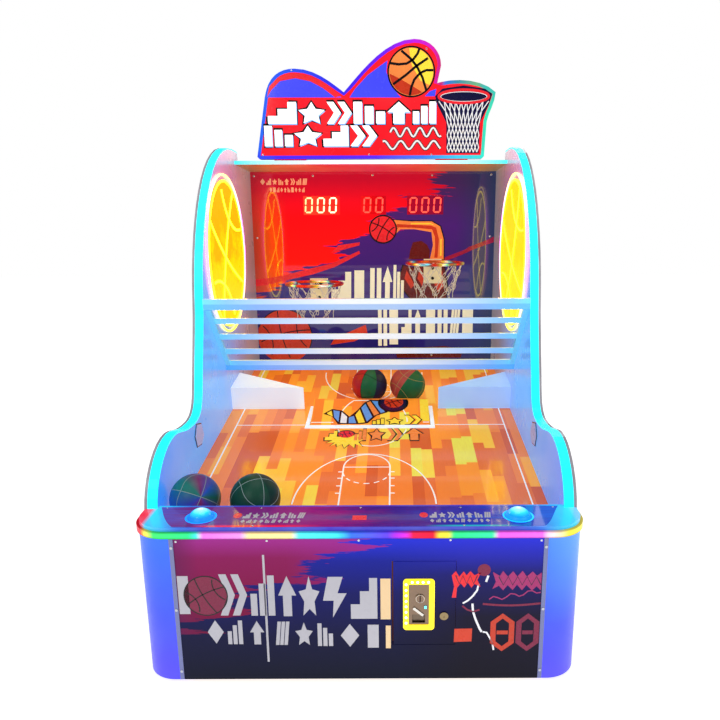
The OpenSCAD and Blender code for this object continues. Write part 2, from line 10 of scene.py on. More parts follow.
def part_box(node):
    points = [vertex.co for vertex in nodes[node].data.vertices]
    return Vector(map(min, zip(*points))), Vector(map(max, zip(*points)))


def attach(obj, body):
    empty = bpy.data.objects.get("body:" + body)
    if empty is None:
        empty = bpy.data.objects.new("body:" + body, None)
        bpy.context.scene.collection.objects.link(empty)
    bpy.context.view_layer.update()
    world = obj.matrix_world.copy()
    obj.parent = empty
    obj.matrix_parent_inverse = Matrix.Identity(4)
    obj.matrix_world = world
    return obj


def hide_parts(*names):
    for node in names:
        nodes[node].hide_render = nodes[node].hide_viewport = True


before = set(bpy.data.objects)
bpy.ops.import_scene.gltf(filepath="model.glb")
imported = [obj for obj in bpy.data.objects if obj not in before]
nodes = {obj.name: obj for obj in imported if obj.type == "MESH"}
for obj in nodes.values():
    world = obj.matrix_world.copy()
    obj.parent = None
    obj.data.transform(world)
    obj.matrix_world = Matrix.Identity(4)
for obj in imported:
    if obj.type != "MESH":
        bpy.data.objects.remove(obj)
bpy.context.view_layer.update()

# ---------------------------------------------------------------- places
MID_Y, FOOT_H = 879, 25
SLOPE = math.radians(8)
COURT_Y, COURT_Z = 148, 372
GATE_Y, GATE_TILT, AXIS_DROP = 916, math.radians(21), 9
DECK_Z, FRONT_Y, BACK_Y, SIGN_Y, WALL_X = 470, 0, 1685, 1385, 588
DISC_Y, DISC_Z, DISC_SEAM_R, RING_LIGHT_R = 1137, 1145, 289, 314
BUTTON_X, BUTTON_Y = 445, 70
HOOP_Y, BALL_R, STRIP_HALF = 1490, 75.6, 0.631
OUTER_SKIN = (0.612, 0.617)
PRINT = 0.35


def row(x, y, z):
    """Cabinet millimetres to the row frame in metres."""
    return Vector((x / 1000, (y - MID_Y) / 1000, (z + FOOT_H) / 1000))


def court_z(y):
    """Height of the court surface at a depth."""
    return COURT_Z + (y - COURT_Y) * math.tan(SLOPE)


def on_front(u, v, w):
    return row(u, FRONT_Y - w, v)


def on_deck(u, v, w):
    return row(u, v, DECK_Z + w)


def on_court(u, v, w):
    return row(u, v - w * math.sin(SLOPE), court_z(v) + w * math.cos(SLOPE))


def on_gate(u, v, w):
    c, s = math.cos(GATE_TILT), math.sin(GATE_TILT)
    y0 = GATE_Y + AXIS_DROP * math.sin(SLOPE)
    z0 = court_z(GATE_Y) - AXIS_DROP * math.cos(SLOPE)
    return row(u, y0 + v * c - (AXIS_DROP + w) * s, z0 + v * s + (AXIS_DROP + w) * c)


def on_back(u, v, w):
    return row(u, BACK_Y - w, v)


def on_glass(u, v, w):
    """The score windows, 1 mm behind the face of the back board."""
    return row(u, BACK_Y + 1 - w, v)


def on_sign(u, v, w):
    return row(u, SIGN_Y - w, v)


def on_wall(side, gap=0):
    return lambda u, v, w: row(side * (WALL_X - gap - w), u, v)


# ---------------------------------------------------------------- node materials
class Paint:
    """A node material with helpers for the maths that drives it."""

    def __init__(self, name):
        self.m = bpy.data.materials.new(name)
        self.m.use_nodes = True
        self.n, self.l = self.m.node_tree.nodes, self.m.node_tree.links
        self.n.clear()
        self.out = self.n.new("ShaderNodeOutputMaterial")
        self.b = self.n.new("ShaderNodeBsdfPrincipled")
        self.b.inputs["Specular IOR Level"].default_value = 0.22
        self.l.new(self.b.outputs[0], self.out.inputs[0])
        self.co = self.n.new("ShaderNodeTexCoord").outputs["Object"]
        xyz = self.n.new("ShaderNodeSeparateXYZ")
        self.l.new(self.co, xyz.inputs[0])
        self.x, self.y, self.z = xyz.outputs

    def put(self, socket, value):
        if isinstance(value, bpy.types.NodeSocket):
            self.l.new(value, socket)
        elif isinstance(value, (tuple, list)):
            socket.default_value = (*value,
                                    1) if len(value) == 3 and len(socket.default_value) == 4 else value
        else:
            socket.default_value = value

    def set(self, **k):
        names = dict(color="Base Color", rough="Roughness", metal="Metallic", coat="Coat Weight",
                     coat_rough="Coat Roughness", glow="Emission Color", power="Emission Strength",
                     normal="Normal", spec="Specular IOR Level")
        for key, value in k.items():
            self.put(self.b.inputs[names[key]], value)
        return self

    def math(self, op, a, b=0.0, c=0.0):
        n = self.n.new("ShaderNodeMath")
        n.operation = op
        for s, v in zip(n.inputs, (a, b, c)):
            self.put(s, v)
        return n.outputs[0]

    def mul(self, a, b):
        return self.math("MULTIPLY", a, b)

    def plus(self, a, b):
        return self.math("ADD", a, b)

    def size(self, a):
        """The number without its sign."""
        return self.math("ABSOLUTE", a)

    def vary(self, scale, low, high):
        """A value that drifts between two levels with a noise, for roughness."""
        return self.span(self.noise(scale), 0.2, 0.8, low, high)

    def fine(self, scale, strength, detail=2, depth=0.0004):
        """A fine noise as bump."""
        return self.bump(self.noise(scale, detail), strength, depth)

    def tinge(self, tone, scale, detail, color, low=0.35, high=0.65):
        """The tone with soft patches of a second colour."""
        return self.mix(self.span(self.noise(scale, detail), low, high, 0.0, 0.12), tone, color)

    def speckle(self, tone, low=0.88):
        """The tone dimmed in fine patches, like a diffuser over small lamps."""
        dots = self.span(self.noise(90, 2), 0.25, 0.75, low, 1.0)
        return self.mix(1.0, tone, self.vec(dots, dots, dots), "MULTIPLY")

    def vec(self, x, y, z):
        n = self.n.new("ShaderNodeCombineXYZ")
        for s, v in zip(n.inputs, (x, y, z)):
            self.put(s, v)
        return n.outputs[0]

    def turn(self, angle, scale=(1, 1, 1), about="Y"):
        n = self.n.new("ShaderNodeMapping")
        self.l.new(self.co, n.inputs[0])
        n.inputs["Rotation"].default_value = [angle if a == about else 0 for a in "XYZ"]
        n.inputs["Scale"].default_value = scale
        return n.outputs[0]

    def noise(self, scale, detail=3.0, rough=0.5, at=None, distortion=0.0):
        n = self.n.new("ShaderNodeTexNoise")
        self.l.new(at or self.co, n.inputs["Vector"])
        n.inputs["Scale"].default_value = scale
        n.inputs["Detail"].default_value = detail
        n.inputs["Roughness"].default_value = rough
        n.inputs["Distortion"].default_value = distortion
        return n.outputs["Fac"]

    def cells(self, scale):
        n = self.n.new("ShaderNodeTexVoronoi")
        self.l.new(self.co, n.inputs["Vector"])
        n.inputs["Scale"].default_value = scale
        return n.outputs["Distance"]

    def random(self, at):
        n = self.n.new("ShaderNodeTexWhiteNoise")
        n.noise_dimensions = "2D"
        self.l.new(at, n.inputs["Vector"])
        return n.outputs["Value"]

    def span(self, v, a, b, lo=0.0, hi=1.0):
        n = self.n.new("ShaderNodeMapRange")
        self.put(n.inputs["Value"], v)
        for s, x in zip(("From Min", "From Max", "To Min", "To Max"), (a, b, lo, hi)):
            n.inputs[s].default_value = x
        return n.outputs["Result"]

    def ramp(self, fac, stops, mode="LINEAR"):
        """Colour stops: (position, linear colour) or (position, red, green, blue) in eight bits."""
        stops = [(at, S(*c) if len(c) == 3 else c[0]) for at, *c in stops]
        n = self.n.new("ShaderNodeValToRGB")
        n.color_ramp.interpolation = mode
        e = n.color_ramp.elements
        while len(e) > 1:
            e.remove(e[-1])
        e[0].position, e[0].color = stops[0][0], (*stops[0][1], 1)
        for p, c in stops[1:]:
            e.new(p).color = (*c, 1)
        self.put(n.inputs[0], fac)
        return n.outputs[0]

    def mix(self, fac, a, b, mode="MIX"):
        n = self.n.new("ShaderNodeMix")
        n.data_type = "RGBA"
        n.blend_type = mode
        self.put(n.inputs["Factor"], fac)
        self.put(n.inputs[6], a)
        self.put(n.inputs[7], b)
        return n.outputs[2]

    def bump(self, height, strength=0.2, distance=0.001):
        n = self.n.new("ShaderNodeBump")
        n.inputs["Strength"].default_value = strength
        n.inputs["Distance"].default_value = distance
        self.l.new(height, n.inputs["Height"])
        return n.outputs[0]

    def facing(self, axis):
        """The part of the surface normal along an axis: 0, 1 or 2."""
        g = self.n.new("ShaderNodeNewGeometry")
        s = self.n.new("ShaderNodeSeparateXYZ")
        self.l.new(g.outputs["Normal"], s.inputs[0])
        return s.outputs[axis]


def S(r, g, b):
    """An 8-bit display colour as linear light."""
    return tuple(((c / 255 + 0.055) / 1.055) ** 2.4 if c > 10 else c / 255 / 12.92 for c in (r, g, b))


def shade(c, k):
    """The colour made darker or lighter by a factor."""
    return tuple(min(1.0, x * k) for x in c)


def film(name, color, rough=0.22, coat=0.5, power=0.0, vary=0.12, grain=60):
    """Gloss printed film or paint: slight tone drift, fine orange peel, uneven gloss; a power above zero adds
    a faint glow as painted light.
    """
    p = Paint(name)
    drift = p.span(p.noise(4, 4), 0.3, 0.7)
    tone = p.mix(drift, shade(color, 1 - vary), shade(color, 1 + vary))
    p.set(color=tone, rough=p.vary(grain, rough * 0.7, rough * 1.3), coat=coat, coat_rough=0.06,
          normal=p.fine(grain * 9, 0.05))
    # Painted light: the film glows though it is no lamp.
    if power:
        p.set(glow=tone, power=power)
    return p.m


def metal(name, color, rough=0.3, lay=(1, 1, 60), grain=14, vary=0.12):
    """Brushed or plated metal: streaks along one way, smudges in the gloss."""
    p = Paint(name)
    streak = p.noise(grain, 4, 0.6, at=p.turn(0, lay))
    tone = p.mix(streak, shade(color, 1 - vary), shade(color, 1 + vary))
    p.set(color=tone, metal=1.0, rough=p.span(streak, 0.2, 0.8, rough * 0.7, rough * 1.4),
          normal=p.bump(streak, 0.08, 0.0003))
    return p.m


def lamp(name, stops, axis, lo, hi, power, rough=0.35):
    """A diffuser lit from behind, its colour running along one axis."""
    p = Paint(name)
    along = p.span((p.x, p.y, p.z)[axis], lo, hi)
    tone = p.ramp(along, stops)
    lit = p.speckle(tone)
    p.set(color=lit, rough=p.vary(40, rough * 0.8, rough * 1.2), glow=lit, power=power)
    return p.m


def plastic(name, color, rough=0.5, vary=0.1):
    """Moulded plastic with a fine spark-eroded grain."""
    p = Paint(name)
    tone = p.mix(p.noise(7, 4), shade(color, 1 - vary), shade(color, 1 + vary))
    p.set(color=tone, rough=p.vary(70, rough * 0.8, rough * 1.2), normal=p.bump(p.cells(900), 0.15, 0.0003))
    return p.m


# ---------------------------------------------------------------- mesh helpers
def add(name, verts, faces, material, body, smooth=False):
    me = bpy.data.meshes.new(name)
    me.from_pydata([tuple(v) for v in verts], [], faces)
    bm = bmesh.new()
    bm.from_mesh(me)
    bmesh.ops.recalc_face_normals(bm, faces=bm.faces)
    bm.to_mesh(me)
    bm.free()
    for poly in me.polygons:
        poly.use_smooth = smooth
    o = bpy.data.objects.new(name, me)
    bpy.context.scene.collection.objects.link(o)
    for m in material if isinstance(material, list) else [material]:
        me.materials.append(m)
    if body:
        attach(o, body)
    return o


class Shapes:
    """Thin printed or moulded shapes gathered into one mesh on one surface."""

    def __init__(self, place, thick=PRINT, base=0.0):
        self.place, self.thick, self.base = place, thick, base
        self.v, self.f = [], []

    def fill(self, outline):
        n, k = len(outline), len(self.v)
        for w in (self.base, self.base + self.thick):
            self.v += [self.place(u, v, w) for u, v in outline]
        self.f += [list(range(k, k + n)), list(range(k + n, k + 2 * n))]
        self.f += [[k + i, k + (i + 1) % n, k + n + (i + 1) % n, k + n + i] for i in range(n)]
        return self

    def stroke(self, path, width, closed=False):
        """A ribbon of that width along a path."""
        n, k = len(path), len(self.v)
        for i, p in enumerate(path):
            a = path[(i - 1) % n] if closed or i else p
            b = path[(i + 1) % n] if closed or i < n - 1 else p
            d = Vector((b[0] - a[0], b[1] - a[1]))
            d = d.normalized() if d.length > 1e-9 else Vector((1, 0))
            nx, ny = -d.y * width / 2, d.x * width / 2
            for s in (1, -1):
                for w in (self.base, self.base + self.thick):
                    self.v.append(self.place(p[0] + s * nx, p[1] + s * ny, w))
        for i in range(n if closed else n - 1):
            a, b = k + 4 * i, k + 4 * ((i + 1) % n)
            self.f += [[a, b, b + 1, a + 1], [a + 1, b + 1, b + 3, a + 3], [a + 3, b + 3, b + 2, a + 2],
                       [a + 2, b + 2, b, a]]
        if not closed:
            e = k + 4 * (n - 1)
            self.f += [[k, k + 1, k + 3, k + 2], [e, e + 2, e + 3, e + 1]]
        return self

    def make(self, name, material, body, smooth=False):
        return add(name, self.v, self.f, material, body, smooth)


def ring(cx, cy, rx, ry=None, a0=0.0, a1=360.0, n=64, turn=0.0):
    ry = rx if ry is None else ry
    full = abs(a1 - a0) >= 360
    count = n if full else n + 1
    c, s = math.cos(math.radians(turn)), math.sin(math.radians(turn))
    pts = []
    for i in range(count):
        t = math.radians(a0 + (a1 - a0) * i / n)
        u, v = rx * math.cos(t), ry * math.sin(t)
        pts.append((cx + u * c - v * s, cy + u * s + v * c))
    return pts


def slab(x0, y0, x1, y1):
    """A rectangle between two corners."""
    return [(x0, y0), (x1, y0), (x1, y1), (x0, y1)]


def star(cx, cy, r, points=5, inner=0.45, turn=90):
    """A star outline with its first point up."""
    return [(cx + (r if i % 2 == 0 else r * inner) * math.cos(math.radians(turn + 180 * i / points)),
             cy + (r if i % 2 == 0 else r * inner) * math.sin(math.radians(turn + 180 * i / points)))
            for i in range(2 * points)]


def grow(outline, d):
    """The outline pushed outwards by about d."""
    cx = sum(p[0] for p in outline) / len(outline)
    cy = sum(p[1] for p in outline) / len(outline)
    out = []
    for x, y in outline:
        v = Vector((x - cx, y - cy))
        v = v * (1 + d / max(v.length, 1e-6))
        out.append((cx + v.x, cy + v.y))
    return out


def bezier(p, n=12):
    """Points along a cubic curve through four control points."""
    out = []
    for i in range(n + 1):
        t = i / n
        u = 1 - t
        out.append(tuple(u ** 3 * p[0][k] + 3 * u * u * t * p[1][k] + 3 * u * t * t * p[2][k]
                         + t ** 3 * p[3][k] for k in range(2)))
    return out


def tube_mesh(path, r, closed=False, sides=8):
    """Vertices and faces of a round tube along 3-D points."""
    verts, faces, n = [], [], len(path)
    ref = None
    for i, p in enumerate(path):
        a = path[(i - 1) % n] if closed or i else p
        b = path[(i + 1) % n] if closed or i < n - 1 else p
        t = (b - a).normalized()
        if ref is None:
            ref = t.orthogonal()
        side = (ref - t * ref.dot(t)).normalized()
        other = t.cross(side)
        ref = side
        for j in range(sides):
            q = 2 * math.pi * j / sides
            verts.append(p + side * (r * math.cos(q)) + other * (r * math.sin(q)))
    for i in range(n if closed else n - 1):
        for j in range(sides):
            a, b = i * sides, ((i + 1) % n) * sides
            k = (j + 1) % sides
            faces.append([a + j, b + j, b + k, a + k])
    if not closed:
        faces += [list(range(sides)), list(range((n - 1) * sides, n * sides))]
    return verts, faces


def tubes(name, paths, r, material, body, closed=False, sides=8):
    verts, faces = [], []
    for path in paths:
        v, f = tube_mesh(path, r, closed, sides)
        k = len(verts)
        verts += v
        faces += [[i + k for i in q] for q in f]
    return add(name, verts, faces, material, body, smooth=True)


def finish(material, *names):
    """Gives CAD pieces their material."""
    for name in names:
        me = nodes[name].data
        me.materials.clear()
        me.materials.append(material)


# ---------------------------------------------------------------- CAD materials
def wall_paint():
    """Side boards: painted blue light from the edge lights in front, painted pink light round the discs, warm
    grey at the back, plain grey outside.
    """
    p = Paint("side_board_film")
    # Painted light: blue from the edge lights at the front, fading to warm grey towards the back.
    base = p.ramp(p.span(p.y, -0.75, 0.85), [(0.0, 20, 145, 255), (0.3, 40, 165, 255), (0.5, 90, 170, 252),
            (0.66, 125, 150, 210), (0.82, 138, 130, 140), (1.0, 120, 112, 112)])
    # Painted light from the discs: lavender and pink between 1.05 and 1.62 m up.
    high = p.span(p.z, 1.05, 1.62)
    lit = p.ramp(p.span(p.y, -0.1, 0.85), [(0.0, 190, 175, 250), (0.3, 215, 140, 190), (0.55, 190, 120, 150),
                                           (0.8, 160, 130, 125), (1.0, 130, 118, 115)])
    tone = p.mix(high, base, lit)
    tone = p.tinge(tone, 3, 4, S(215, 225, 245))
    skin = p.ramp(p.span(p.noise(9, 5, 0.6), 0.35, 0.65), [(0.0, 128, 124, 130), (1.0, 146, 142, 148)])
    tone = p.mix(p.span(p.size(p.x), *OUTER_SKIN), tone, skin)
    # The board glows a little: painted light, it is no lamp.
    p.set(color=tone, rough=p.vary(8, 0.24, 0.34), coat=0.3, coat_rough=0.12, normal=p.fine(60, 0.02),
          glow=tone, power=0.5)
    return p.m


def disc_light(name, top, low):
    """A glowing disc, mottled like a ball's skin."""
    p = Paint(name)
    high = p.plus(p.z, p.mul(p.span(p.noise(9, 5, 0.6), 0.3, 0.7, -1, 1), 0.16))
    tone = p.mix(p.span(high, 1.12, 1.24), low, top)
    pits = p.span(p.noise(55, 4, 0.7), 0.35, 0.62)
    tone = p.mix(p.mul(pits, 0.3), tone, S(250, 175, 0))
    p.set(color=shade(S(255, 210, 0), 0.25), rough=p.vary(30, 0.25, 0.45), glow=tone, power=1.0,
          normal=p.bump(pits, 0.2, 0.0008))
    return p.m


def post_plastic():
    """Corner posts: painted blue light from the strip above, violet at the foot, and a painted highlight at
    the upper right.
    """
    p = Paint("corner_post_plastic")
    # Painted light from the strip: blue, violet towards the foot.
    tone = p.ramp(p.span(p.z, 0.02, 0.47), [(0.0, 80, 66, 248), (0.5, 58, 80, 250), (1.0, 50, 106, 255)])
    # Painted highlight: lighter blue at the upper right.
    tone = p.mix(p.mul(p.span(p.x, 0.45, 0.65), p.span(p.z, 0.2, 0.47)), tone, S(95, 165, 255))
    tone = p.tinge(tone, 5, 3, S(100, 140, 255), 0.3, 0.7)
    # The posts glow a little: painted light, they are no lamp.
    p.set(color=tone, rough=p.vary(60, 0.3, 0.45), coat=0.12, coat_rough=0.2,
          normal=p.bump(p.cells(700), 0.06, 0.0003), glow=tone, power=0.42)
    return p.m


def board(name, a, b):
    """Bare board with a long grain."""
    p = Paint(name)
    grain = p.noise(22, 6, 0.65, at=p.turn(0, (1, 8, 8)), distortion=0.4)
    p.set(color=p.mix(grain, a, b), rough=p.span(grain, 0.2, 0.8, 0.55, 0.75),
          normal=p.bump(grain, 0.2, 0.0006))
    return p.m


def front_print():
    """Printed front: crimson brush field over navy, brighter under the light strip."""
    p = Paint("front_print_film")
    brush = p.noise(5.5, 6, 0.62, at=p.turn(math.radians(26), (0.5, 1, 6)))
    line = p.math("SUBTRACT", p.z, p.plus(p.mul(p.x, 0.503), 0.437))
    line = p.plus(line, p.span(brush, 0.3, 0.7, -0.085, 0.085))
    # The red and navy run lighter towards the top: painted light from the strip.
    red = p.ramp(p.span(p.z, 0.15, 0.47), [(0.0, 98, 10, 50), (0.45, 112, 12, 58), (0.8, 120, 18, 76),
                                           (1.0, 145, 40, 130)])
    red = p.mix(p.span(p.x, -0.44, -0.53), red, S(85, 22, 70))
    red = p.mix(p.mul(p.span(p.x, -0.2, 0.05), 0.5), red, S(140, 30, 140))
    navy = p.ramp(p.span(p.z, 0.03, 0.46), [(0.0, 8, 12, 32), (0.3, 12, 14, 50), (0.62, 16, 18, 84),
                                            (0.85, 18, 26, 130), (1.0, 30, 42, 190)])
    right = p.ramp(p.span(p.z, 0.03, 0.46), [(0.0, 12, 10, 24), (0.45, 18, 14, 38), (0.75, 24, 22, 90),
            (1.0, 36, 42, 190)])
    navy = p.mix(p.span(p.x, 0.1, 0.3), navy, right)
    tone = p.mix(p.span(line, -0.003, 0.004), navy, red)
    # The panel glows a little: painted light, it is no lamp.
    p.set(color=tone, rough=p.vary(45, 0.14, 0.26), coat=0.12, coat_rough=0.05, spec=0.08,
          normal=p.fine(350, 0.03), glow=tone, power=0.45)
    return p.m


def deck_print():
    """Printed deck sheet: plum at the left running to blue at the right, with brush marks."""
    p = Paint("deck_print_film")
    brush = p.noise(6, 6, 0.65, at=p.turn(0.2, (0.6, 5, 1), "Z"))
    side = p.plus(p.span(p.x, -0.6, 0.6), p.span(brush, 0.3, 0.7, -0.12, 0.12))
    tone = p.ramp(side, [(0.0, 85, 70, 165), (0.16, 105, 36, 110), (0.42, 118, 22, 112), (0.56, 58, 22, 118),
                         (0.8, 34, 48, 165), (1.0, 30, 90, 200)])
    red = p.mul(p.span(p.y, -0.858, -0.87), p.mul(p.span(p.x, -0.46, -0.4), p.span(p.x, -0.1, -0.22)))
    tone = p.mix(red, tone, S(240, 10, 50))
    cyan = p.mul(p.span(p.y, -0.862, -0.874), p.mul(p.span(p.x, 0.18, 0.26), p.span(p.x, 0.46, 0.36)))
    tone = p.mix(cyan, tone, S(40, 200, 190))
    # The sheet glows a little: painted light, it is no lamp.
    p.set(color=tone, rough=p.vary(45, 0.06, 0.14), coat=0.25, coat_rough=0.03, spec=0.1,
          normal=p.fine(300, 0.02), glow=tone, power=0.45)
    return p.m


def deck_edge():
    """Gloss deck with painted light from the strip: blue along its front, cyan at the corners and red at the
    far left.
    """
    p = Paint("deck_edge_gloss")
    side = p.size(p.x)
    # Painted light: blue in the middle turning cyan towards the corners.
    tone = p.ramp(p.span(side, 0.42, 0.62), [(0.0, 60, 50, 185), (0.4, 40, 110, 215), (0.7, 45, 190, 240),
            (1.0, 60, 215, 250)])
    # Painted light from the strip's ends: red at the far left, pale blue at the far right.
    tone = p.mix(p.mul(p.span(p.x, -0.586, -0.6), p.span(p.z, 0.478, 0.49)), tone, S(250, 15, 50))
    tone = p.mix(p.mul(p.span(p.x, 0.596, 0.61), p.span(p.z, 0.478, 0.49)), tone, S(120, 200, 255))
    tone = p.tinge(tone, 8, 3, S(140, 200, 255))
    # The deck glows a little: painted light, it is no lamp.
    p.set(color=tone, rough=p.vary(50, 0.1, 0.2), coat=0.2, coat_rough=0.05, normal=p.fine(300, 0.02),
          glow=tone, power=0.42)
    return p.m


def court_print(name, plank=0.0395, block=0.21):
    """Printed court: staggered blocks of orange, rust and yellow laid along its length."""
    p = Paint(name)
    column = p.math("FLOOR", p.math("DIVIDE", p.x, plank))
    shift = p.mul(p.random(p.vec(column, 3.0, 0.0)), block)
    cell = p.math("FLOOR", p.math("DIVIDE", p.plus(p.y, shift), block))
    pick = p.random(p.vec(p.math("FLOOR", p.math("DIVIDE", column, 2.0)), cell, 0.0))
    pick2 = p.random(p.vec(column, p.plus(cell, 17.0), 0.0))
    pick = p.plus(p.mul(pick, 0.62), p.mul(pick2, 0.38))
    tone = p.ramp(pick, [(0.0, 205, 92, 40), (0.22, 222, 110, 48), (0.36, 236, 128, 48), (0.5, 246, 146, 44),
                         (0.6, 250, 165, 50), (0.68, 246, 190, 60), (0.75, 238, 208, 70),
                         (0.84, 228, 218, 80)], "CONSTANT")
    grain = p.noise(26, 5, 0.6, at=p.turn(0, (9, 1, 1)))
    tone = p.mix(p.span(grain, 0.3, 0.7, 0.0, 0.12), tone, S(170, 70, 30))
    far = p.span(p.y, 0.12, 0.75)
    tone = p.mix(p.mul(far, 0.4), tone, S(225, 125, 15))
    # The court glows a little: painted light, it is no lamp.
    p.set(color=tone, rough=p.vary(40, 0.14, 0.24), coat=0.35, coat_rough=0.06,
          normal=p.bump(grain, 0.04, 0.0004), glow=tone, power=0.4)
    return p.m


def back_print():
    """Printed back: red brush field over navy, split along a rising diagonal."""
    p = Paint("back_print_film")
    brush = p.noise(3.2, 7, 0.66, at=p.turn(math.radians(24), (0.45, 1, 5.5)))
    line = p.math("SUBTRACT", p.z, p.plus(p.mul(p.x, 0.62), 1.272))
    line = p.plus(line, p.span(brush, 0.3, 0.7, -0.12, 0.12))
    red = p.ramp(p.span(p.z, 0.9, 1.5), [(0.0, 215, 45, 15), (0.35, 242, 16, 8), (0.7, 238, 5, 14),
                                         (1.0, 175, 6, 40)])
    red = p.mix(p.mul(p.span(p.x, -0.42, -0.6), p.span(p.z, 1.45, 1.25)), red, S(190, 70, 15))
    red = p.mix(p.mul(p.span(p.x, -0.5, -0.58), 0.5), red, S(130, 15, 30))
    navy = p.ramp(p.span(p.z, 0.6, 1.5), [(0.0, 22, 22, 88), (0.35, 44, 26, 100), (0.75, 66, 26, 110),
                                          (1.0, 60, 34, 84)])
    navy = p.mix(p.span(p.x, 0.4, 0.58), navy, S(32, 46, 84))
    tone = p.mix(p.span(line, -0.004, 0.006), navy, red)
    # The print glows a little: painted light, it is no lamp.
    p.set(color=tone, rough=p.vary(45, 0.05, 0.1), coat=1.0, coat_rough=0.015, normal=p.fine(250, 0.015),
          spec=0.1, glow=tone, power=0.6)
    return p.m


def ceiling_paint():
    """Ceiling board: orange to pink where it is lit from below, grey on top."""
    p = Paint("ceiling_paint")
    under = p.ramp(p.span(p.x, -0.59, 0.59), [(0.0, 150, 110, 70), (0.1, 190, 105, 55), (0.3, 215, 60, 60),
            (0.5, 215, 50, 90), (0.7, 225, 80, 60), (0.9, 190, 120, 60), (1.0, 150, 130, 90)])
    tone = p.mix(p.span(p.facing(2), -0.4, -0.6), S(150, 155, 165), under)
    tone = p.tinge(tone, 6, 4, S(235, 200, 150))
    # The board also glows a little: painted light, it is no lamp.
    p.set(color=tone, rough=p.vary(20, 0.28, 0.42), normal=p.fine(90, 0.03), glow=tone, power=0.3)
    return p.m


def sign_print():
    """Sign face red, lit from behind; its sides and back dark blue."""
    p = Paint("sign_print_film")
    red = p.mix(p.span(p.noise(5, 3), 0.3, 0.7), S(228, 12, 30), S(245, 34, 44))
    face = p.span(p.facing(1), -0.4, -0.6)
    tone = p.mix(face, S(40, 44, 150), red)
    p.set(color=tone, rough=p.vary(60, 0.18, 0.3), coat=0.3, coat_rough=0.08, normal=p.fine(400, 0.03),
          glow=tone, power=0.4)
    return p.m


def rim_metal():
    """Polished rim with painted reflections of the red, yellow and cyan lights round it, and a faint glow."""
    p = Paint("rim_polished")
    # Painted reflections: colour bands repeating across the rim.
    turn = p.plus(p.mul(p.x, 7.0), p.mul(p.noise(6, 3), 2.2))
    pick = p.math("FRACT", turn)
    tone = p.ramp(pick, [(0.0, 215, 45, 30), (0.2, 190, 110, 60), (0.36, 245, 215, 70), (0.46, 250, 240, 220),
                         (0.56, 120, 225, 245), (0.68, 120, 100, 95), (0.84, 205, 50, 35),
                         (1.0, 215, 45, 30)])
    p.set(color=tone, metal=1.0, rough=p.vary(60, 0.12, 0.22), normal=p.fine(200, 0.04, 3, 0.0003), glow=tone,
          power=0.3)
    return p.m


def guard_paint():
    """Gloss bars with painted light: cream on the faces turned up, white turning blue to the sides, and
    painted shade deeper and bluer low on the top and bottom rails.
    """
    p = Paint("guard_gloss")
    side = p.size(p.x)
    # Painted light: white turning blue towards the sides.
    painted_side_light = p.ramp(p.span(side, 0.1, 0.6), [(0.0, 232, 240, 245), (0.5, 185, 215, 255), (0.8, 140, 200, 255),
                                           (1.0, 110, 225, 255)])
    low = p.ramp(p.span(side, 0.1, 0.6), [(0.0, 165, 195, 235), (0.6, 130, 175, 250), (1.0, 90, 190, 255)])
    # Painted shade: the lower part of the top and bottom rails deeper and bluer.
    rail = p.mul(p.span(p.z, 1.0135, 1.0105), p.span(p.z, 0.985, 0.99))
    rail = p.plus(rail, p.mul(p.span(p.z, 0.7335, 0.7305), p.span(p.z, 0.7, 0.705)))
    tone = p.mix(rail, painted_side_light, low)
    # Painted highlight: faces turned up go cream.
    tone = p.mix(p.span(p.facing(2), 0.3, 0.8), tone, S(225, 242, 225))
    # The bars glow a little: painted light, they are no lamp.
    p.set(color=tone, rough=p.vary(20, 0.12, 0.22), coat=0.5, coat_rough=0.05, normal=p.fine(120, 0.02),
          glow=tone, power=0.32)
    return p.m


def sign_edge():
    """Border light whose colour runs round the sign: blue, violet, magenta, then green at the right."""
    p = Paint("sign_edge_light")
    x = p.span(p.x, -0.492, 0.532)
    high = p.ramp(x, [(0.0, 20, 110, 255), (0.1, 20, 90, 255), (0.3, 40, 40, 245), (0.42, 70, 10, 255),
                      (0.55, 120, 0, 255), (0.66, 200, 0, 240), (0.735, 235, 0, 190), (0.775, 215, 10, 110),
                      (0.79, 60, 120, 230), (0.84, 50, 150, 170), (0.92, 120, 190, 130), (0.96, 40, 190, 190),
                      (1.0, 40, 235, 200)])
    low = p.ramp(x, [(0.0, 40, 80, 255), (0.1, 70, 20, 255), (0.5, 90, 30, 255), (0.7, 60, 130, 255),
                     (0.85, 60, 220, 255), (1.0, 50, 250, 210)])
    right = p.ramp(p.span(p.z, 1.56, 1.87), [(0.0, 50, 250, 210), (0.6, 60, 240, 190), (1.0, 60, 190, 180)])
    tone = p.mix(p.span(p.z, 1.585, 1.6), low, high)
    tone = p.mix(p.span(p.x, 0.47, 0.49), tone, right)
    tone = p.speckle(tone)
    p.set(color=S(30, 30, 60), rough=0.35, glow=tone, power=1.0)
    return p.m


def strip_light():
    """Colour-changing strip along the front, brightest along its middle."""
    p = Paint("front_strip_light")
    tone = p.ramp(p.span(p.x, -STRIP_HALF, STRIP_HALF), STRIP)
    fall = p.ramp(p.span(p.z, 0.4653, 0.4837), [(0.0, (0.35, 0.35, 0.35)), (0.3, (0.95, 0.95, 0.95)),
            (0.7, (0.95, 0.95, 0.95)), (1.0, (0.4, 0.4, 0.4))])
    lit = p.speckle(p.mix(1.0, tone, fall, "MULTIPLY"), 0.9)
    p.set(color=lit, rough=p.vary(40, 0.28, 0.42), glow=lit, power=0.7)
    return p.m


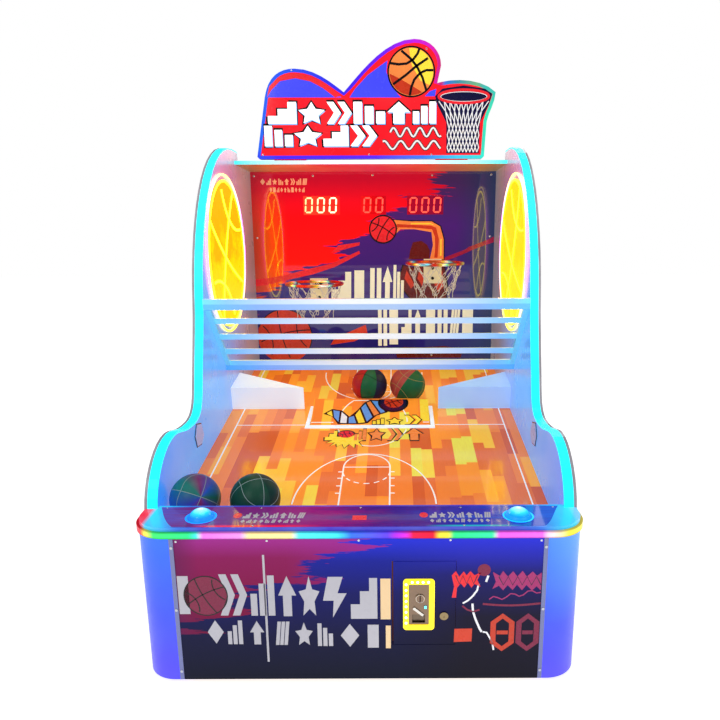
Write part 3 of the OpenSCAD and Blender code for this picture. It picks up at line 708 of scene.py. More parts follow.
STRIP = [(0.0, 255, 10, 50), (0.025, 255, 20, 50), (0.038, 255, 235, 80), (0.058, 60, 240, 110),
         (0.135, 40, 235, 130), (0.152, 60, 240, 210), (0.166, 245, 110, 235), (0.246, 248, 140, 240),
         (0.264, 250, 220, 150), (0.355, 250, 225, 150), (0.372, 80, 245, 255), (0.452, 60, 220, 255),
         (0.484, 50, 110, 255), (0.563, 95, 60, 255), (0.58, 170, 40, 250), (0.605, 215, 40, 200),
         (0.617, 240, 20, 70), (0.662, 250, 15, 50), (0.675, 250, 225, 60), (0.692, 240, 240, 60),
         (0.704, 40, 235, 130), (0.788, 50, 240, 160), (0.802, 245, 90, 235), (0.895, 248, 100, 238),
         (0.907, 250, 200, 235), (0.94, 250, 225, 150), (0.952, 250, 235, 60), (1.0, 255, 225, 60)]

finish(wall_paint(), "side_panel_left", "side_panel_right")
finish(lamp("edge_light", [(0.0, 20, 225, 255), (0.5, 30, 248, 255), (1.0, 40, 250, 255)], 2, 0.45, 1.6, 1.3),
       "side_led_left", "side_led_right")
finish(disc_light("disc_light_left", S(250, 178, 10), S(255, 225, 5)), "light_disc_left")
finish(disc_light("disc_light_right", S(255, 228, 5), S(255, 240, 10)), "light_disc_right")
finish(post_plastic(), "corner_post_left", "corner_post_right")
finish(board("bare_board", (0.42, 0.3, 0.19), (0.3, 0.2, 0.12)), "base_board")
finish(metal("zinc_steel", (0.5, 0.51, 0.53), 0.32), "feet", "trim_screws", "gate_hinge_blocks", "hinge_pins")
finish(metal("bolt_black", (0.03, 0.03, 0.03), 0.4), "hoop_bolts")
finish(front_print(), "front_panel", "coin_door")
finish(metal("trim_aluminium", S(120, 125, 165), 0.3), "front_trims")
finish(strip_light(), "front_led_strip")
finish(deck_edge(), "control_deck")
finish(lamp("bezel_glow", [(0.0, 20, 130, 255), (0.5, 60, 180, 255), (1.0, 20, 150, 255)], 0, -0.5, 0.5, 0.6),
       "button_bezels")
finish(court_print("court_film"), "court_floor")
finish(film("guide_gloss_left", S(232, 244, 250), 0.2, 0.4, 0.42, 0.06), "ball_guide_left", "gate_frame")
# The right guide's light blue is painted light from the edge light on that side.
finish(film("guide_gloss_right", S(165, 205, 255), 0.2, 0.4, 0.42, 0.06), "ball_guide_right")
finish(court_print("gate_film"), "gate_panel")
finish(metal("plunger_steel", (0.7, 0.7, 0.72), 0.2), "gate_plunger")
finish(plastic("coil_body", (0.05, 0.055, 0.07), 0.45), "gate_solenoid")
finish(guard_paint(), "guard_frame")
finish(back_print(), "back_panel")
finish(plastic("rear_black", (0.035, 0.036, 0.04), 0.5), "rear_wall", "rear_door")
finish(ceiling_paint(), "top_panel")
finish(lamp("top_rail_light", [(0.0, 60, 240, 255), (0.12, 150, 245, 255), (0.4, 225, 205, 255),
                               (0.6, 205, 225, 255), (0.88, 150, 250, 245), (1.0, 70, 250, 255)], 0, -0.59,
            0.59, 0.95), "top_rail")
finish(lamp("display_glass", [(0.0, 250, 70, 45), (0.3, 240, 30, 30), (0.5, 205, 4, 16), (0.7, 165, 5, 35),
                              (1.0, 120, 12, 60)], 0, -0.35, 0.35, 0.55, 0.15), "score_displays")
finish(sign_print(), "marquee_box")
finish(sign_edge(), "marquee_led")
finish(rim_metal(), "hoop_left_rim", "hoop_right_rim")
finish(film("plate_cream", S(238, 236, 200), 0.25, 0.3, 0.15), "hoop_plates")
finish(plastic("sensor_black", (0.02, 0.02, 0.022), 0.45), "score_sensors")
finish(metal("coin_bronze", S(140, 118, 100), 0.36), "coin_plate")
finish(metal("flap_steel", S(120, 105, 90), 0.35), "coin_return_flap")
finish(lamp("coin_frame_light", [(0.0, 255, 225, 40), (0.5, 255, 232, 50), (1.0, 255, 225, 30)], 2, 0.18,
            0.35, 1.1), "coin_light_frame")
finish(metal("lever_chrome", S(225, 220, 210), 0.15), "reject_lever")
finish(metal("lock_chrome", S(150, 130, 95), 0.16), "door_lock", "rear_lock")
finish(film("box_grey", (0.16, 0.165, 0.18), 0.4, 0.0), "cash_box", "power_supply")
finish(plastic("inlet_black", (0.02, 0.02, 0.02), 0.45), "power_inlet", "speakers")
finish(plastic("switch_red", (0.55, 0.01, 0.01), 0.3), "power_switch")
finish(plastic("circuit_green", (0.01, 0.12, 0.04), 0.4), "control_board")

# ---------------------------------------------------------------- shared print materials
# Most inks below glow faintly through film's power argument: painted light.
ink_white = film("print_white", S(236, 236, 240), 0.3, 0.3, 0.2, 0.06)
ink_grey = film("print_silver", S(182, 180, 188), 0.3, 0.3, 0.15, 0.08)
ink_peach = film("print_peach", S(228, 196, 150), 0.3, 0.3, 0.2, 0.08)
ink_cream = film("print_cream", S(232, 236, 212), 0.25, 0.4, 0.3, 0.06)
ink_black = film("print_black", S(14, 12, 18), 0.3, 0.3, 0.0, 0.3)
ink_red = film("print_red", S(225, 35, 45), 0.28, 0.3, 0.3)
ink_wine = film("print_wine", S(125, 18, 60), 0.28, 0.4, 0.2, 0.15)
ink_plum = film("print_plum", S(165, 35, 105), 0.28, 0.4, 0.2, 0.2)
ink_orange = film("print_orange", S(232, 130, 62), 0.28, 0.4, 0.35, 0.15)
ink_yellow = film("print_yellow", S(250, 215, 60), 0.28, 0.4, 0.3, 0.1)
ink_brick = film("print_brick", S(190, 52, 24), 0.28, 0.4, 0.3, 0.2)
ink_maroon = film("print_maroon", S(95, 18, 16), 0.28, 0.4, 0.25, 0.3)
ink_navy = film("print_navy", S(20, 18, 60), 0.25, 0.4, 0.1, 0.3)
ink_blue = film("print_blue", S(62, 68, 240), 0.25, 0.4, 0.4, 0.1)
screw_mat = metal("screw_heads", (0.7, 0.7, 0.72), 0.22)
line_white = film("court_line_paint", S(245, 242, 232), 0.3, 0.3, 0.3, 0.05)


def printed(name, place, material, body, fills=(), strokes=(), base=0.0, thick=PRINT):
    """One printed piece of filled outlines and (path, width, closed) lines."""
    s = Shapes(place, thick, base)
    for f in fills:
        s.fill(f)
    for path, width, closed in strokes:
        s.stroke(path, width, closed)
    return s.make(name, material, body)


def lines(paths, width):
    """Open paths drawn at one width."""
    return [(p, width, False) for p in paths]


def sheet(prefix, place, body="cabinet"):
    """A function that prints named shapes on one surface."""
    return lambda name, material, *args, **kw: printed(prefix + name, place, material, body, *args, **kw)


front_art = sheet("front_", on_front)
deck_art = sheet("deck_", on_deck)
court_art = sheet("court_", on_court)
gate_art = sheet("gate_", on_gate, "gate")
back_art = sheet("back_", on_back)
sign_art = sheet("sign_", on_sign)


def screws(name, place, points, r=4.2, body="cabinet", h=1.1):
    """Domed screw heads with a round pit in the top."""
    verts, faces = [], []
    for u, v in points:
        k = len(verts)
        levels = [(r, 0.0), (r, h * 0.4), (r * 0.78, h * 0.85), (r * 0.42, h), (r * 0.3, h * 0.45)]
        for rad, w in levels:
            verts += [place(u + rad * math.cos(a * math.pi / 8), v + rad * math.sin(a * math.pi / 8), w)
                      for a in range(16)]
        for j in range(len(levels) - 1):
            faces += [[k + 16 * j + a, k + 16 * j + (a + 1) % 16, k + 16 * (j + 1) + (a + 1) % 16,
                       k + 16 * (j + 1) + a] for a in range(16)]
        faces += [list(range(k, k + 16)), list(range(k + 64, k + 80))]
    return add(name, verts, faces, screw_mat, body)


def ball_seams(cx, cy, r, turn=0.0, cut=None):
    """Seam paths of a ball drawn flat: two crossing arcs and two side arcs."""
    paths = []
    for kind in range(4):
        pts = []
        for i in range(25):
            t = -1 + 2 * i / 24
            if kind == 0:
                u, v = t, 0.12 * (1 - t * t)
            elif kind == 1:
                u, v = -0.1 * (1 - t * t), t
            else:
                s = 1 if kind == 2 else -1
                a = math.radians(40 * t)
                u, v = s * (1.30 - 0.80 * math.cos(a)), 0.80 * math.sin(a) * 1.12
            m = math.hypot(u, v)
            if m > 0.985:
                u, v = u / m * 0.985, v / m * 0.985
            c, q = math.cos(math.radians(turn)), math.sin(math.radians(turn))
            p = (cx + r * (u * c - v * q), cy + r * (u * q + v * c))
            if cut is None or p[1] > cut:
                pts.append(p)
        if len(pts) > 1:
            paths.append(pts)
    return paths


# ---------------------------------------------------------------- generic marks
def unit_bars(*bars):
    """Upright bars (left, right, height) in a unit cell."""
    return [[(a, 0), (b, 0), (b, h), (a, h)] for a, b, h in bars]


MARKS = {
    "bars": unit_bars((0, 0.27, 0.55), (0.36, 0.63, 0.8), (0.72, 1, 1)),
    "fall": unit_bars((0, 0.27, 1), (0.36, 0.63, 0.8), (0.72, 1, 0.55)),
    "slats": [[(a, 0), (a + 0.24, 0), (a + 0.42, 1), (a + 0.18, 1)] for a in (0, 0.29, 0.58)],
    "chevrons": [[(a, 0), (a + 0.27, 0), (a + 0.56, 0.5), (a + 0.27, 1), (a, 1), (a + 0.29, 0.5)]
                 for a in (0, 0.44)],
    "bolt": [[(0.4, 0), (1, 0.6), (0.62, 0.6), (0.85, 1), (0.22, 1), (0, 0.42), (0.45, 0.42)]],
    "gem": [[(0.5, 0), (1, 0.5), (0.5, 1), (0, 0.5)]],
    "steps": [[(0, 0), (1, 0), (1, 1), (0.7, 1), (0.7, 0.68), (0.35, 0.68), (0.35, 0.36), (0, 0.36)]],
    "arrow": [[(0.5, 1), (1, 0.52), (0.74, 0.52), (0.74, 0), (0.26, 0), (0.26, 0.52), (0, 0.52)]],
    "twin": unit_bars((0, 0.4, 1), (0.6, 1, 1)),
    "bar": unit_bars((0, 1, 1)),
    "star": [star(0.5, 0.46, 0.54, 5, 0.5)],
}


def marks(kinds, cells, lean=0.0):
    """Fills each cell (x0, x1, z0, z1) with one bold generic shape."""
    out = []
    for kind, (x0, x1, z0, z1) in zip(kinds.split(), cells):
        for poly in MARKS[kind]:
            out.append([(x0 + (x1 - x0) * u + lean * v * (z1 - z0), z0 + (z1 - z0) * v) for u, v in poly])
    return out


def even(x0, x1, z0, z1, n, gap):
    """A row of n equal cells."""
    w = (x1 - x0 - gap * (n - 1)) / n
    return [(x0 + i * (w + gap), x0 + i * (w + gap) + w, z0, z1) for i in range(n)]


# ---------------------------------------------------------------- front print
row1 = marks("bar chevrons bars arrow star bolt steps", [(-503, -473, 210, 327), (-389, -312, 205, 332),
        (-303, -236, 204, 328), (-226, -176, 202, 326), (-168, -112, 201, 325), (-102, -36, 197, 323),
        (-25, 49, 193, 319)])
row2 = marks("gem bars arrow slats star fall gem bar", [(-429, -384, 116, 190), (-373, -331, 114, 189),
        (-310, -270, 113, 187), (-239, -198, 111, 185), (-182, -134, 109, 182), (-120, -77, 107, 179),
        (-55, -3, 104, 177), (21, 52, 101, 174)])
front_art("marks_silver", ink_grey, row1 + row2 + [slab(-265, 57, -259, 390)])
front_art("marks_peach", ink_peach, [slab(58, 191, 86, 317), slab(72, 99, 86, 171)])
front_art("ball_disc", ink_wine, [ring(-427, 266, 60)])
front_art("ball_lines", ink_black, strokes=[(ring(-427, 266, 60), 3.2, True)]
          + lines(ball_seams(-427, 266, 60, 28), 3.2), base=0.15)
front_art("red_ball", ink_wine, [ring(344, 342, 18)])
front_art("jagged_red", ink_red, [[(256, 258), (262, 292), (255, 326), (266, 339), (276, 322), (288, 338),
                                   (296, 326), (306, 339), (318, 326), (336, 336), (326, 312), (335, 291),
                                   (318, 300), (310, 288), (300, 304), (290, 289), (280, 302), (270, 288),
                                   (268, 258)]])
front_art("jagged_plum", ink_plum, [[(368, 284), (377, 306), (368, 336), (388, 324), (396, 339), (410, 322),
                                     (424, 338), (436, 322), (450, 339), (462, 322), (478, 337), (490, 324),
                                     (503, 334), (503, 279), (490, 292), (478, 279), (462, 296), (450, 280),
                                     (436, 297), (424, 281), (410, 296), (398, 280), (386, 294)]])
front_art("jagged_lines", ink_navy, strokes=[([(385 + 13 * i, 296 if i % 2 else 322) for i in range(10)], 3,
        False), ([(266 + 10 * i, 300 if i % 2 else 326) for i in range(7)], 3, False)], base=0.3)
front_art("swash", ink_plum,
          strokes=[([(360 + 11.9 * i, 252 + 2.2 * i + 7 * math.sin(i * 1.5)) for i in range(13)], 3.5,
                    False)])
front_art("swash_red", ink_wine,
          strokes=[([(343 + 13.4 * i, 238 - 5 * math.sin(i * 0.28)) for i in range(13)], 6, False),
                   ([(286, 232), (300, 220), (316, 214), (334, 220)], 5, False)])


def hexagon(cx, cz, rx, rz):
    """A hexagon with a point up and a point down."""
    corners = ((-1, -0.6), (0, -1), (1, -0.6), (1, 0.6), (0, 1), (-1, 0.6))
    return [(cx + rx * u, cz + rz * v) for u, v in corners]


front_art("hexagon_orange", ink_brick, strokes=[(hexagon(400, 148, 26, 52), 16, True),
        ([(384, 148), (416, 148)], 12, False)])
front_art("hexagon_wine", ink_wine, strokes=[(hexagon(471, 148, 25, 52), 16, True),
        ([(456, 148), (486, 148)], 12, False)])
front_art("square", ink_brick, [[(264, 118), (314, 120), (315, 161), (265, 160)]])
front_art("white_trail", ink_white, strokes=[([(356, 325), (350, 306)], 6, False),
        ([(330, 300), (326, 280), (314, 262), (300, 248), (287, 240)], 5, False),
        ([(314, 239), (316, 215), (323, 192), (336, 160), (342, 150)], 6, False),
        ([(345, 150), (356, 148), (366, 130), (374, 112), (377, 92)], 5, False)])
screws("front_panel_screws", on_front, [(-498, 430), (0, 432), (498, 430), (-250, 432), (250, 432)], 3.2)

# ---------------------------------------------------------------- deck print
DECK_OUT = bezier([(-578, 138), (-560, 96), (-540, 40), (-506, 6)],
                  10) + bezier([(506, 6), (532, 30), (548, 90), (572, 138)], 10)
deck_art("sheet", deck_print(), [DECK_OUT], thick=0.5)
for tag, x0 in (("left", -352), ("right", 172)):
    deck_marks = marks("steps star chevrons bars arrow fall slats", even(x0 + 24, x0 + 198, 60, 96, 7, 5))
    deck_marks += marks("gem bars arrow gem fall slats gem bars arrow gem",
                        even(x0 + 24, x0 + 190, 30, 52, 10, 5))
    deck_art(f"marks_{tag}", ink_grey, deck_marks, base=0.5, thick=0.25)
    deck_art(f"ball_{tag}", ink_red, [ring(x0 + 8, 78, 12, 17)], base=0.5, thick=0.25)
deck_art("red_mark", ink_red, [slab(-20, 46, 20, 76)], base=0.5, thick=0.25)
screws("deck_screws", lambda u, v, w: on_deck(u, v, w + 0.5), [(-288, 130), (0, 129), (288, 129), (556, 130),
        (-560, 132), (288, 12), (-288, 12)], 3.6)

# ---------------------------------------------------------------- court print
LINE, MIDDLE, COURT_END = 5.0, 915, 1676
court_lines = []


def both(path):
    """A line and its mirror image about the cross line."""
    return [path, [(x, 2 * MIDDLE - y) for x, y in path]]


def line(path, width=LINE, closed=False):
    court_lines.append((path, width, closed))


def hidden_by_gate(path):
    """Splits a path where it crosses the gate's well."""
    runs, run = [], []
    for x, y in path:
        if abs(x) < 262 and 878 < y < 1108:
            if len(run) > 1:
                runs.append(run)
            run = []
        else:
            run.append((x, y))
    if len(run) > 1:
        runs.append(run)
    return runs


for x in (-536, 539):
    line([(x, 152), (x, 1672)])
for path in ([(-536, MIDDLE), (-262, MIDDLE)], [(262, MIDDLE), (539, MIDDLE)]):
    line(path)
for arc in both(ring(0, 323, 231, 342, 0, 180, 60)):
    line([p for p in arc if p[1] < COURT_END])
for x in (-82, 82):
    line([(x, 152), (x, 566)])
    line([(x, 1264), (x, COURT_END)])
for p in both([(-82, 566), (82, 566)]):
    line(p)
for arc in both(ring(0, 566, 82, 94, 0, 180, 40)):
    line(arc)
for i in range(7):
    a = 190 + i * 25
    for arc in both(ring(0, 536, 82, 84, a, a + 14, 6)):
        line(arc)
for s in (-1, 1):
    for y in (532, 488, 437, 390):
        for p in both([(s * 84, y), (s * 98, y)]):
            line(p, 6)
for run in hidden_by_gate(ring(10, 925, 140, 196, 0, 360, 90)):
    line(run)
s = Shapes(on_court, 0.3)
for path, width, closed in court_lines:
    s.stroke(path, width, closed)
s.make("court_lines", line_white, "cabinet")

burst = [(-145, 729), (-122, 748), (-119, 724), (-99, 745), (-91, 711), (-74, 745), (-52, 713), (-52, 746),
         (-23, 724), (-40, 762), (-20, 782), (-44, 796), (-30, 836), (-70, 812), (-100, 838), (-112, 806),
         (-150, 812), (-132, 782), (-160, 756), (-128, 758)]
court_cells = [(-170, -126, 777, 859), (-58, -12, 776, 874), (-2, 58, 776, 878), (70, 127, 776, 880),
               (142, 207, 776, 882)]
court_marks = marks("steps bars star chevrons arrow", court_cells)
court_art("marks_edge", ink_black, [grow(burst, 5), ring(-91, 828, 38, 38)]
          + [grow(m, 8) for m in court_marks], thick=0.3)
court_art("burst", ink_yellow, [burst], base=0.3, thick=0.2)
court_art("marks", ink_orange, court_marks[1:], base=0.5, thick=0.2)
court_art("mark_yellow", ink_yellow, court_marks[:1], base=0.5, thick=0.2)
court_art("mark_ball", ink_red, [ring(-91, 828, 30)], base=0.55, thick=0.25)
court_art("mark_ball_lines", ink_navy, strokes=lines(ball_seams(-91, 828, 30, 20), 3), base=0.8, thick=0.2)

# ---------------------------------------------------------------- gate print
gate_arc = [p for p in ring(10, 14, 140, 190, 0, 180, 40) if 2 < p[1] < 172]
gate_art("line", line_white, strokes=[([(-238, 18), (-149, 18)], 5, False),
                                      ([(213, 18), (238, 18)], 5, False), (gate_arc, 5, False)], thick=0.3)
gate_art("block", ink_yellow, [slab(204, 26, 240, 176)], thick=0.2)
tail = [(-194, 75), (-160, 108), (-118, 97), (-86, 56), (-54, 101), (-28, 152), (-5, 172), (37, 170),
        (56, 116), (71, 85), (25, 62), (-10, 11), (-45, 6), (-130, 6), (-156, 56)]
gate_art("tail_edge", ink_black, [tail], base=0.3, thick=0.25)


def tail_band(k):
    """One of eight slices across the curved tail."""
    top = [(-182, 78), (-158, 100), (-122, 90), (-90, 48), (-64, 62), (-42, 112), (-20, 150), (0, 164),
           (34, 160)]
    low = [(-176, 72), (-150, 54), (-124, 14), (-90, 12), (-50, 12), (-16, 18), (12, 60), (40, 78), (62, 88)]

    def at(side, t):
        i = min(7, int(t * 8))
        return Vector(side[i]).lerp(Vector(side[i + 1]), min(1.0, t * 8 - i))

    t0, t1 = k / 8 + 0.01, k / 8 + 0.105
    ts = [t0, (t0 + t1) / 2, t1]
    return [tuple(at(top, t)) for t in ts] + [tuple(at(low, t)) for t in reversed(ts)]


burst_blue = film("print_sky", S(90, 150, 220), 0.28, 0.4, 0.3)
gate_art("bands_blue", burst_blue, [tail_band(i) for i in (1, 3, 5, 7)], base=0.55, thick=0.25)
gate_art("bands_yellow", ink_yellow, [tail_band(i) for i in (0, 4)], base=0.55, thick=0.25)
gate_art("bands_white", ink_white, [tail_band(2)], base=0.55, thick=0.25)
gate_art("bands_orange", ink_orange, [tail_band(6)], base=0.55, thick=0.25)


def on_flap(pts):
    """An outline cut off at the gate's far edge."""
    return [(x, min(y, 174)) for x, y in pts]


gate_art("ball_edge", ink_black, [on_flap(ring(93, 150, 64, 66))], base=0.85, thick=0.2)
gate_art("ball_ring", ink_navy, [on_flap(ring(93, 150, 55, 57))], base=1.05, thick=0.2)
gate_art("ball", ink_brick, [on_flap(ring(95, 154, 40, 40))], base=1.25, thick=0.2)
gate_art("ball_lines", ink_black, strokes=[([p for p in path if p[1] < 172], 4, False)
                                           for path in ball_seams(95, 152, 38, 25, 100)], base=1.45,
         thick=0.2)
tops = marks("bars star chevrons", [(10, 56, 3, 40), (68, 129, 3, 46), (140, 206, 3, 60)])
gate_art("marks_edge", ink_black, [grow(m, 6) for m in tops], base=1.5, thick=0.2)
gate_art("marks", ink_yellow, tops, base=1.7, thick=0.2)

# ---------------------------------------------------------------- back print
bars = marks("steps bar twin arrow fall", [(-214, -116, 899, 1033), (-100, -52, 899, 1040),
                                           (-22, 33, 899, 1051), (40, 88, 899, 1060), (93, 145, 899, 1066)],
             0.02)
bars += marks("twin bar steps arrow bar twin slats bar", [(17, 62, 662, 848), (74, 117, 669, 848),
        (134, 185, 706, 848), (192, 240, 706, 848), (258, 303, 716, 848), (316, 366, 716, 848),
        (378, 429, 719, 848), (440, 493, 719, 848)])
back_art("streaks_red", ink_red, [[(-586, 998), (-520, 1004), (-437, 1019), (-330, 1046), (-210, 1074),
                                   (-72, 1135), (-68, 1121), (-130, 1088), (-196, 1056), (-300, 1022),
                                   (-431, 994), (-520, 972), (-586, 963)],
                                  [(-173, 1162), (-68, 1176), (-71, 1161), (-166, 1136), (-209, 1125)]])
back_art("streak_right", film("print_crimson_dark", S(150, 20, 60), 0.2, 0.5, 0.35, 0.2),
         [[(324, 1089), (359, 1106), (450, 1140), (464, 1151), (561, 1188), (586, 1201), (586, 1174),
           (499, 1144), (436, 1116), (360, 1087)]])
back_art("wedge", ink_brick, [[(-224, 668), (-205, 700), (-132, 732), (-45, 770), (-35, 717), (-104, 685)]])
back_art("shadow", ink_maroon, [[(102, 640), (149, 656), (221, 652), (351, 660), (446, 642), (436, 600),
                                 (112, 600)], [(170, 1093), (177, 1134), (191, 1175), (233, 1182),
        (261, 1162), (275, 1134), (272, 1093)]])
comet = [(38, 1281), (100, 1281), (184, 1274), (281, 1274), (323, 1250), (341, 1189), (342, 1092),
         (275, 1096), (289, 1161), (281, 1223), (198, 1237), (128, 1237), (86, 1189), (79, 1237)]
back_art("comet_edge", ink_black, [grow(comet, 6)], base=0.25)
back_art("comet", ink_orange, [comet], base=0.55)
back_art("comet_shade", ink_brick, [[(110, 1246), (198, 1244), (284, 1236), (298, 1200), (300, 1150),
                                     (296, 1100), (312, 1100), (318, 1190), (304, 1244), (280, 1254),
                                     (190, 1258), (112, 1262)], [(88, 1232), (92, 1206), (122, 1246)]],
         base=0.85, thick=0.2)
back_art("comet_light", ink_yellow, [[(180, 1266), (276, 1266), (300, 1254), (278, 1260), (180, 1261)],
                                     [(325, 1190), (331, 1192), (332, 1110), (324, 1110)]], base=0.85,
         thick=0.2)
plume = [(124, 1003), (145, 1065), (196, 1050), (226, 1078), (262, 1052), (300, 1076), (346, 1051),
         (362, 960), (355, 897), (184, 898), (149, 939)]
back_art("plume_edge", ink_black, [grow(plume, 6)], base=0.1)
back_art("plume", ink_maroon, [plume], base=0.4)
back_art("plume_core", ink_brick, [[(150, 1000), (160, 1040), (180, 1004), (200, 968), (182, 950)],
                                   [(226, 1056), (246, 1010), (238, 960), (214, 1000)],
                                   [(300, 1058), (336, 1036), (344, 960), (316, 930), (290, 990)]], base=0.7,
         thick=0.2)
back_art("bars", ink_cream, bars, base=0.75)
back_art("ball", ink_red, [ring(45, 1237, 64)], base=1.1)
back_art("ball_lines", ink_black, strokes=[(ring(45, 1237, 65), 7, True)]
         + lines(ball_seams(45, 1237, 63, -30), 5), base=1.45)


def in_corner(pts):
    """An outline cut off at the back board's left and lower edges."""
    return [(max(x, -586), max(z, 594)) for x, z in pts]


back_art("low_ball", ink_brick, [in_corner(ring(-454, 712, 137, n=96))])
back_art("low_ball_lines", ink_black,
         strokes=[([p for p in ring(-454, 712, 136, a0=-40, a1=160, n=80) if p[1] > 596], 5, False)]
         + [([q for q in p if q[0] > -582], 5, False) for p in ball_seams(-454, 712, 134, 14, 598)],
         base=0.35)
small = marks("gem steps star fall arrow chevrons bars slats", even(-541, -316, 1446, 1475, 8, 6))
small += marks("gem bar bars gem arrow fall bar gem star bars", even(-498, -330, 1412, 1434, 10, 5))
back_art("small_marks", film("print_blush", S(240, 170, 130), 0.3, 0.4, 0.4), small)
screws("back_screws", on_back, [(-570, 1487), (-288, 1488), (-3, 1490), (282, 1489), (565, 1491),
                                (-569, 1198), (567, 1202), (-565, 899), (287, 613)], 5)

# ---------------------------------------------------------------- digits
def digit(cx, cz, w=38, h=74, t=7.5):
    """The outer six of seven segments, leaning a little, with a gap at each joint."""
    out = []
    a, b = w / 2 - t / 2, h / 2 - t / 2
    for x, z, up in ((0, b, 0), (0, -b, 0), (-a, b / 2, 1), (a, b / 2, 1), (-a, -b / 2, 1), (a, -b / 2, 1)):
        half, e = (b / 2 if up else a) - 1.6, t / 2
        p = [(-half, 0), (-half + e, e), (half - e, e), (half, 0), (half - e, -e), (-half + e, -e)]
        out.append([(cx + x + u + 0.06 * (z + v), cz + z + v) for u,
                    v in ([(-v, u) for u, v in p] if up else p)])
    return out


led_red = lamp("digit_light", [(0.0, 255, 70, 55), (1.0, 255, 80, 65)], 0, -0.4, 0.4, 1.6)
led_hot = lamp("digit_light_hot", [(0.0, 255, 170, 110), (1.0, 255, 225, 180)], 0, -0.34, -0.2, 2.2)
printed("score_digits_left", on_glass, led_hot, "cabinet",
        [q for x in (-312, -254, -196) for q in digit(x, 1351)], thick=0.6)
printed("score_digits", on_glass, led_red, "cabinet",
        [q for x in (-30, 28, 192, 250, 308) for q in digit(x, 1351)], thick=0.6)

# ---------------------------------------------------------------- sign print
hump1 = [(-438, 1787), (-426, 1831), (-390, 1865), (-315, 1882), (-247, 1870), (-190, 1843), (-144, 1806),
         (-123, 1786)]
fill1 = [(-441, 1784), (-418, 1816), (-380, 1851), (-316, 1862), (-253, 1850), (-201, 1821), (-165, 1796),
         (-149, 1782)]
fill2 = [(-88, 1786), (-64, 1820), (-10, 1874), (43, 1910), (74, 1930), (69, 1888), (84, 1840), (121, 1795),
         (132, 1785)]
sign_art("blue", ink_blue, [hump1, fill2, [(232, 1790), (253, 1810), (280, 1819), (275, 1790)]])
sign_art("red_arc", ink_red, [hump1[:6] + [(-126, 1792), (-149, 1786), (-165, 1798), (-201, 1824)]
                              + fill1[1:5][::-1]], base=0.3)
sign_art("ball_edge", ink_black, [ring(174, 1886, 101)])
sign_art("ball", ink_orange, [ring(174, 1886, 94)], base=0.3)
sign_art("ball_light", ink_yellow, [ring(174, 1886, 92, a0=-34, a1=96, n=30) + [(176, 1912), (214, 1850)]],
         base=0.62, thick=0.2)
sign_art("ball_dark", ink_brick, [ring(174, 1886, 92, a0=184, a1=300, n=30) + [(180, 1830), (120, 1862)]],
         base=0.62, thick=0.2)
seams = [[(97, 1837), (148, 1871), (195, 1908), (244, 1939)],
         [(132, 1968), (169, 1939), (197, 1908), (221, 1864), (238, 1812)],
         [(85, 1920), (121, 1915), (155, 1918), (182, 1934), (200, 1956), (208, 1976)],
         [(168, 1793), (174, 1825), (187, 1856), (211, 1881), (237, 1892), (267, 1892)]]
sign_art("ball_seams", ink_black, strokes=lines(seams, 10), base=0.85, thick=0.3)
cells1 = [(-438, -316, 1682, 1769), (-306, -196, 1682, 1769), (-186, -80, 1682, 1769), (-72, 62, 1682, 1769),
          (72, 170, 1682, 1769), (181, 279, 1682, 1769)]
cells2 = [(-456, -335, 1591, 1674), (-327, -212, 1591, 1674), (-203, -96, 1591, 1674), (-87, 27, 1591, 1674)]
blocks = marks("steps star chevrons fall arrow bars", cells1) + marks("fall star steps chevrons", cells2)
drop = [[(x + 3, z - 5) for x, z in m] for m in blocks]
sign_art("marks_edge", ink_black, [grow(m, 9) for m in blocks])
sign_art("marks_shade", film("sign_ice", S(140, 180, 245), 0.25, 0.4, 0.5, 0.1), drop, base=0.3)
sign_art("marks", film("sign_white", S(244, 248, 255), 0.25, 0.4, 0.7, 0.05), blocks, base=0.6)
waves = [[(84 + 5.6 * i, 1646 + 18 * math.sin(i * 0.62)) for i in range(40)],
         [(52 + 6.2 * i, 1594 + 17 * math.sin(i * 0.55 + 1)) for i in range(41)]]
sign_art("waves_edge", ink_black, strokes=lines(waves, 15), base=0.65)
sign_art("waves", ink_white, strokes=lines(waves, 8), base=0.95)
sign_art("net_field", ink_navy, [[(275, 1790), (286, 1755), (324, 1685), (326, 1560), (466, 1560),
                                  (468, 1685), (504, 1754), (518, 1799), (486, 1819), (396, 1832),
                                  (306, 1820)]], base=0.1)
net = []
cols, rows_z = 9, [1770, 1730, 1686, 1660, 1634, 1608, 1584, 1564]


def net_x(j, z):
    half = 106 if z > 1760 else (86 if z > 1720 else 68)
    return 397 + half * (2 * j / cols - 1)


for k in range(len(rows_z) - 1):
    for j in range(cols + 1):
        for step in (-0.5, 0.5):
            a = j + (0.5 if k % 2 else 0)
            b = a + step
            if 0 <= a <= cols and 0 <= b <= cols:
                net.append(([(net_x(a, rows_z[k]), rows_z[k]), (net_x(b, rows_z[k + 1]), rows_z[k + 1])], 4.0,
                            False))
sign_art("net", ink_white, strokes=net, base=0.45)
sign_art("rim", ink_red, strokes=[(ring(397, 1789, 106, 26), 11, True)], base=0.8)
sign_art("rim_light", ink_white, strokes=[(ring(397, 1788, 98, 19), 2.5, True)], base=0.8)
screws("sign_screws", on_sign, [(-330, 1893), (238, 1975), (-8, 1556), (-466, 1556), (262, 1556)], 3.5)

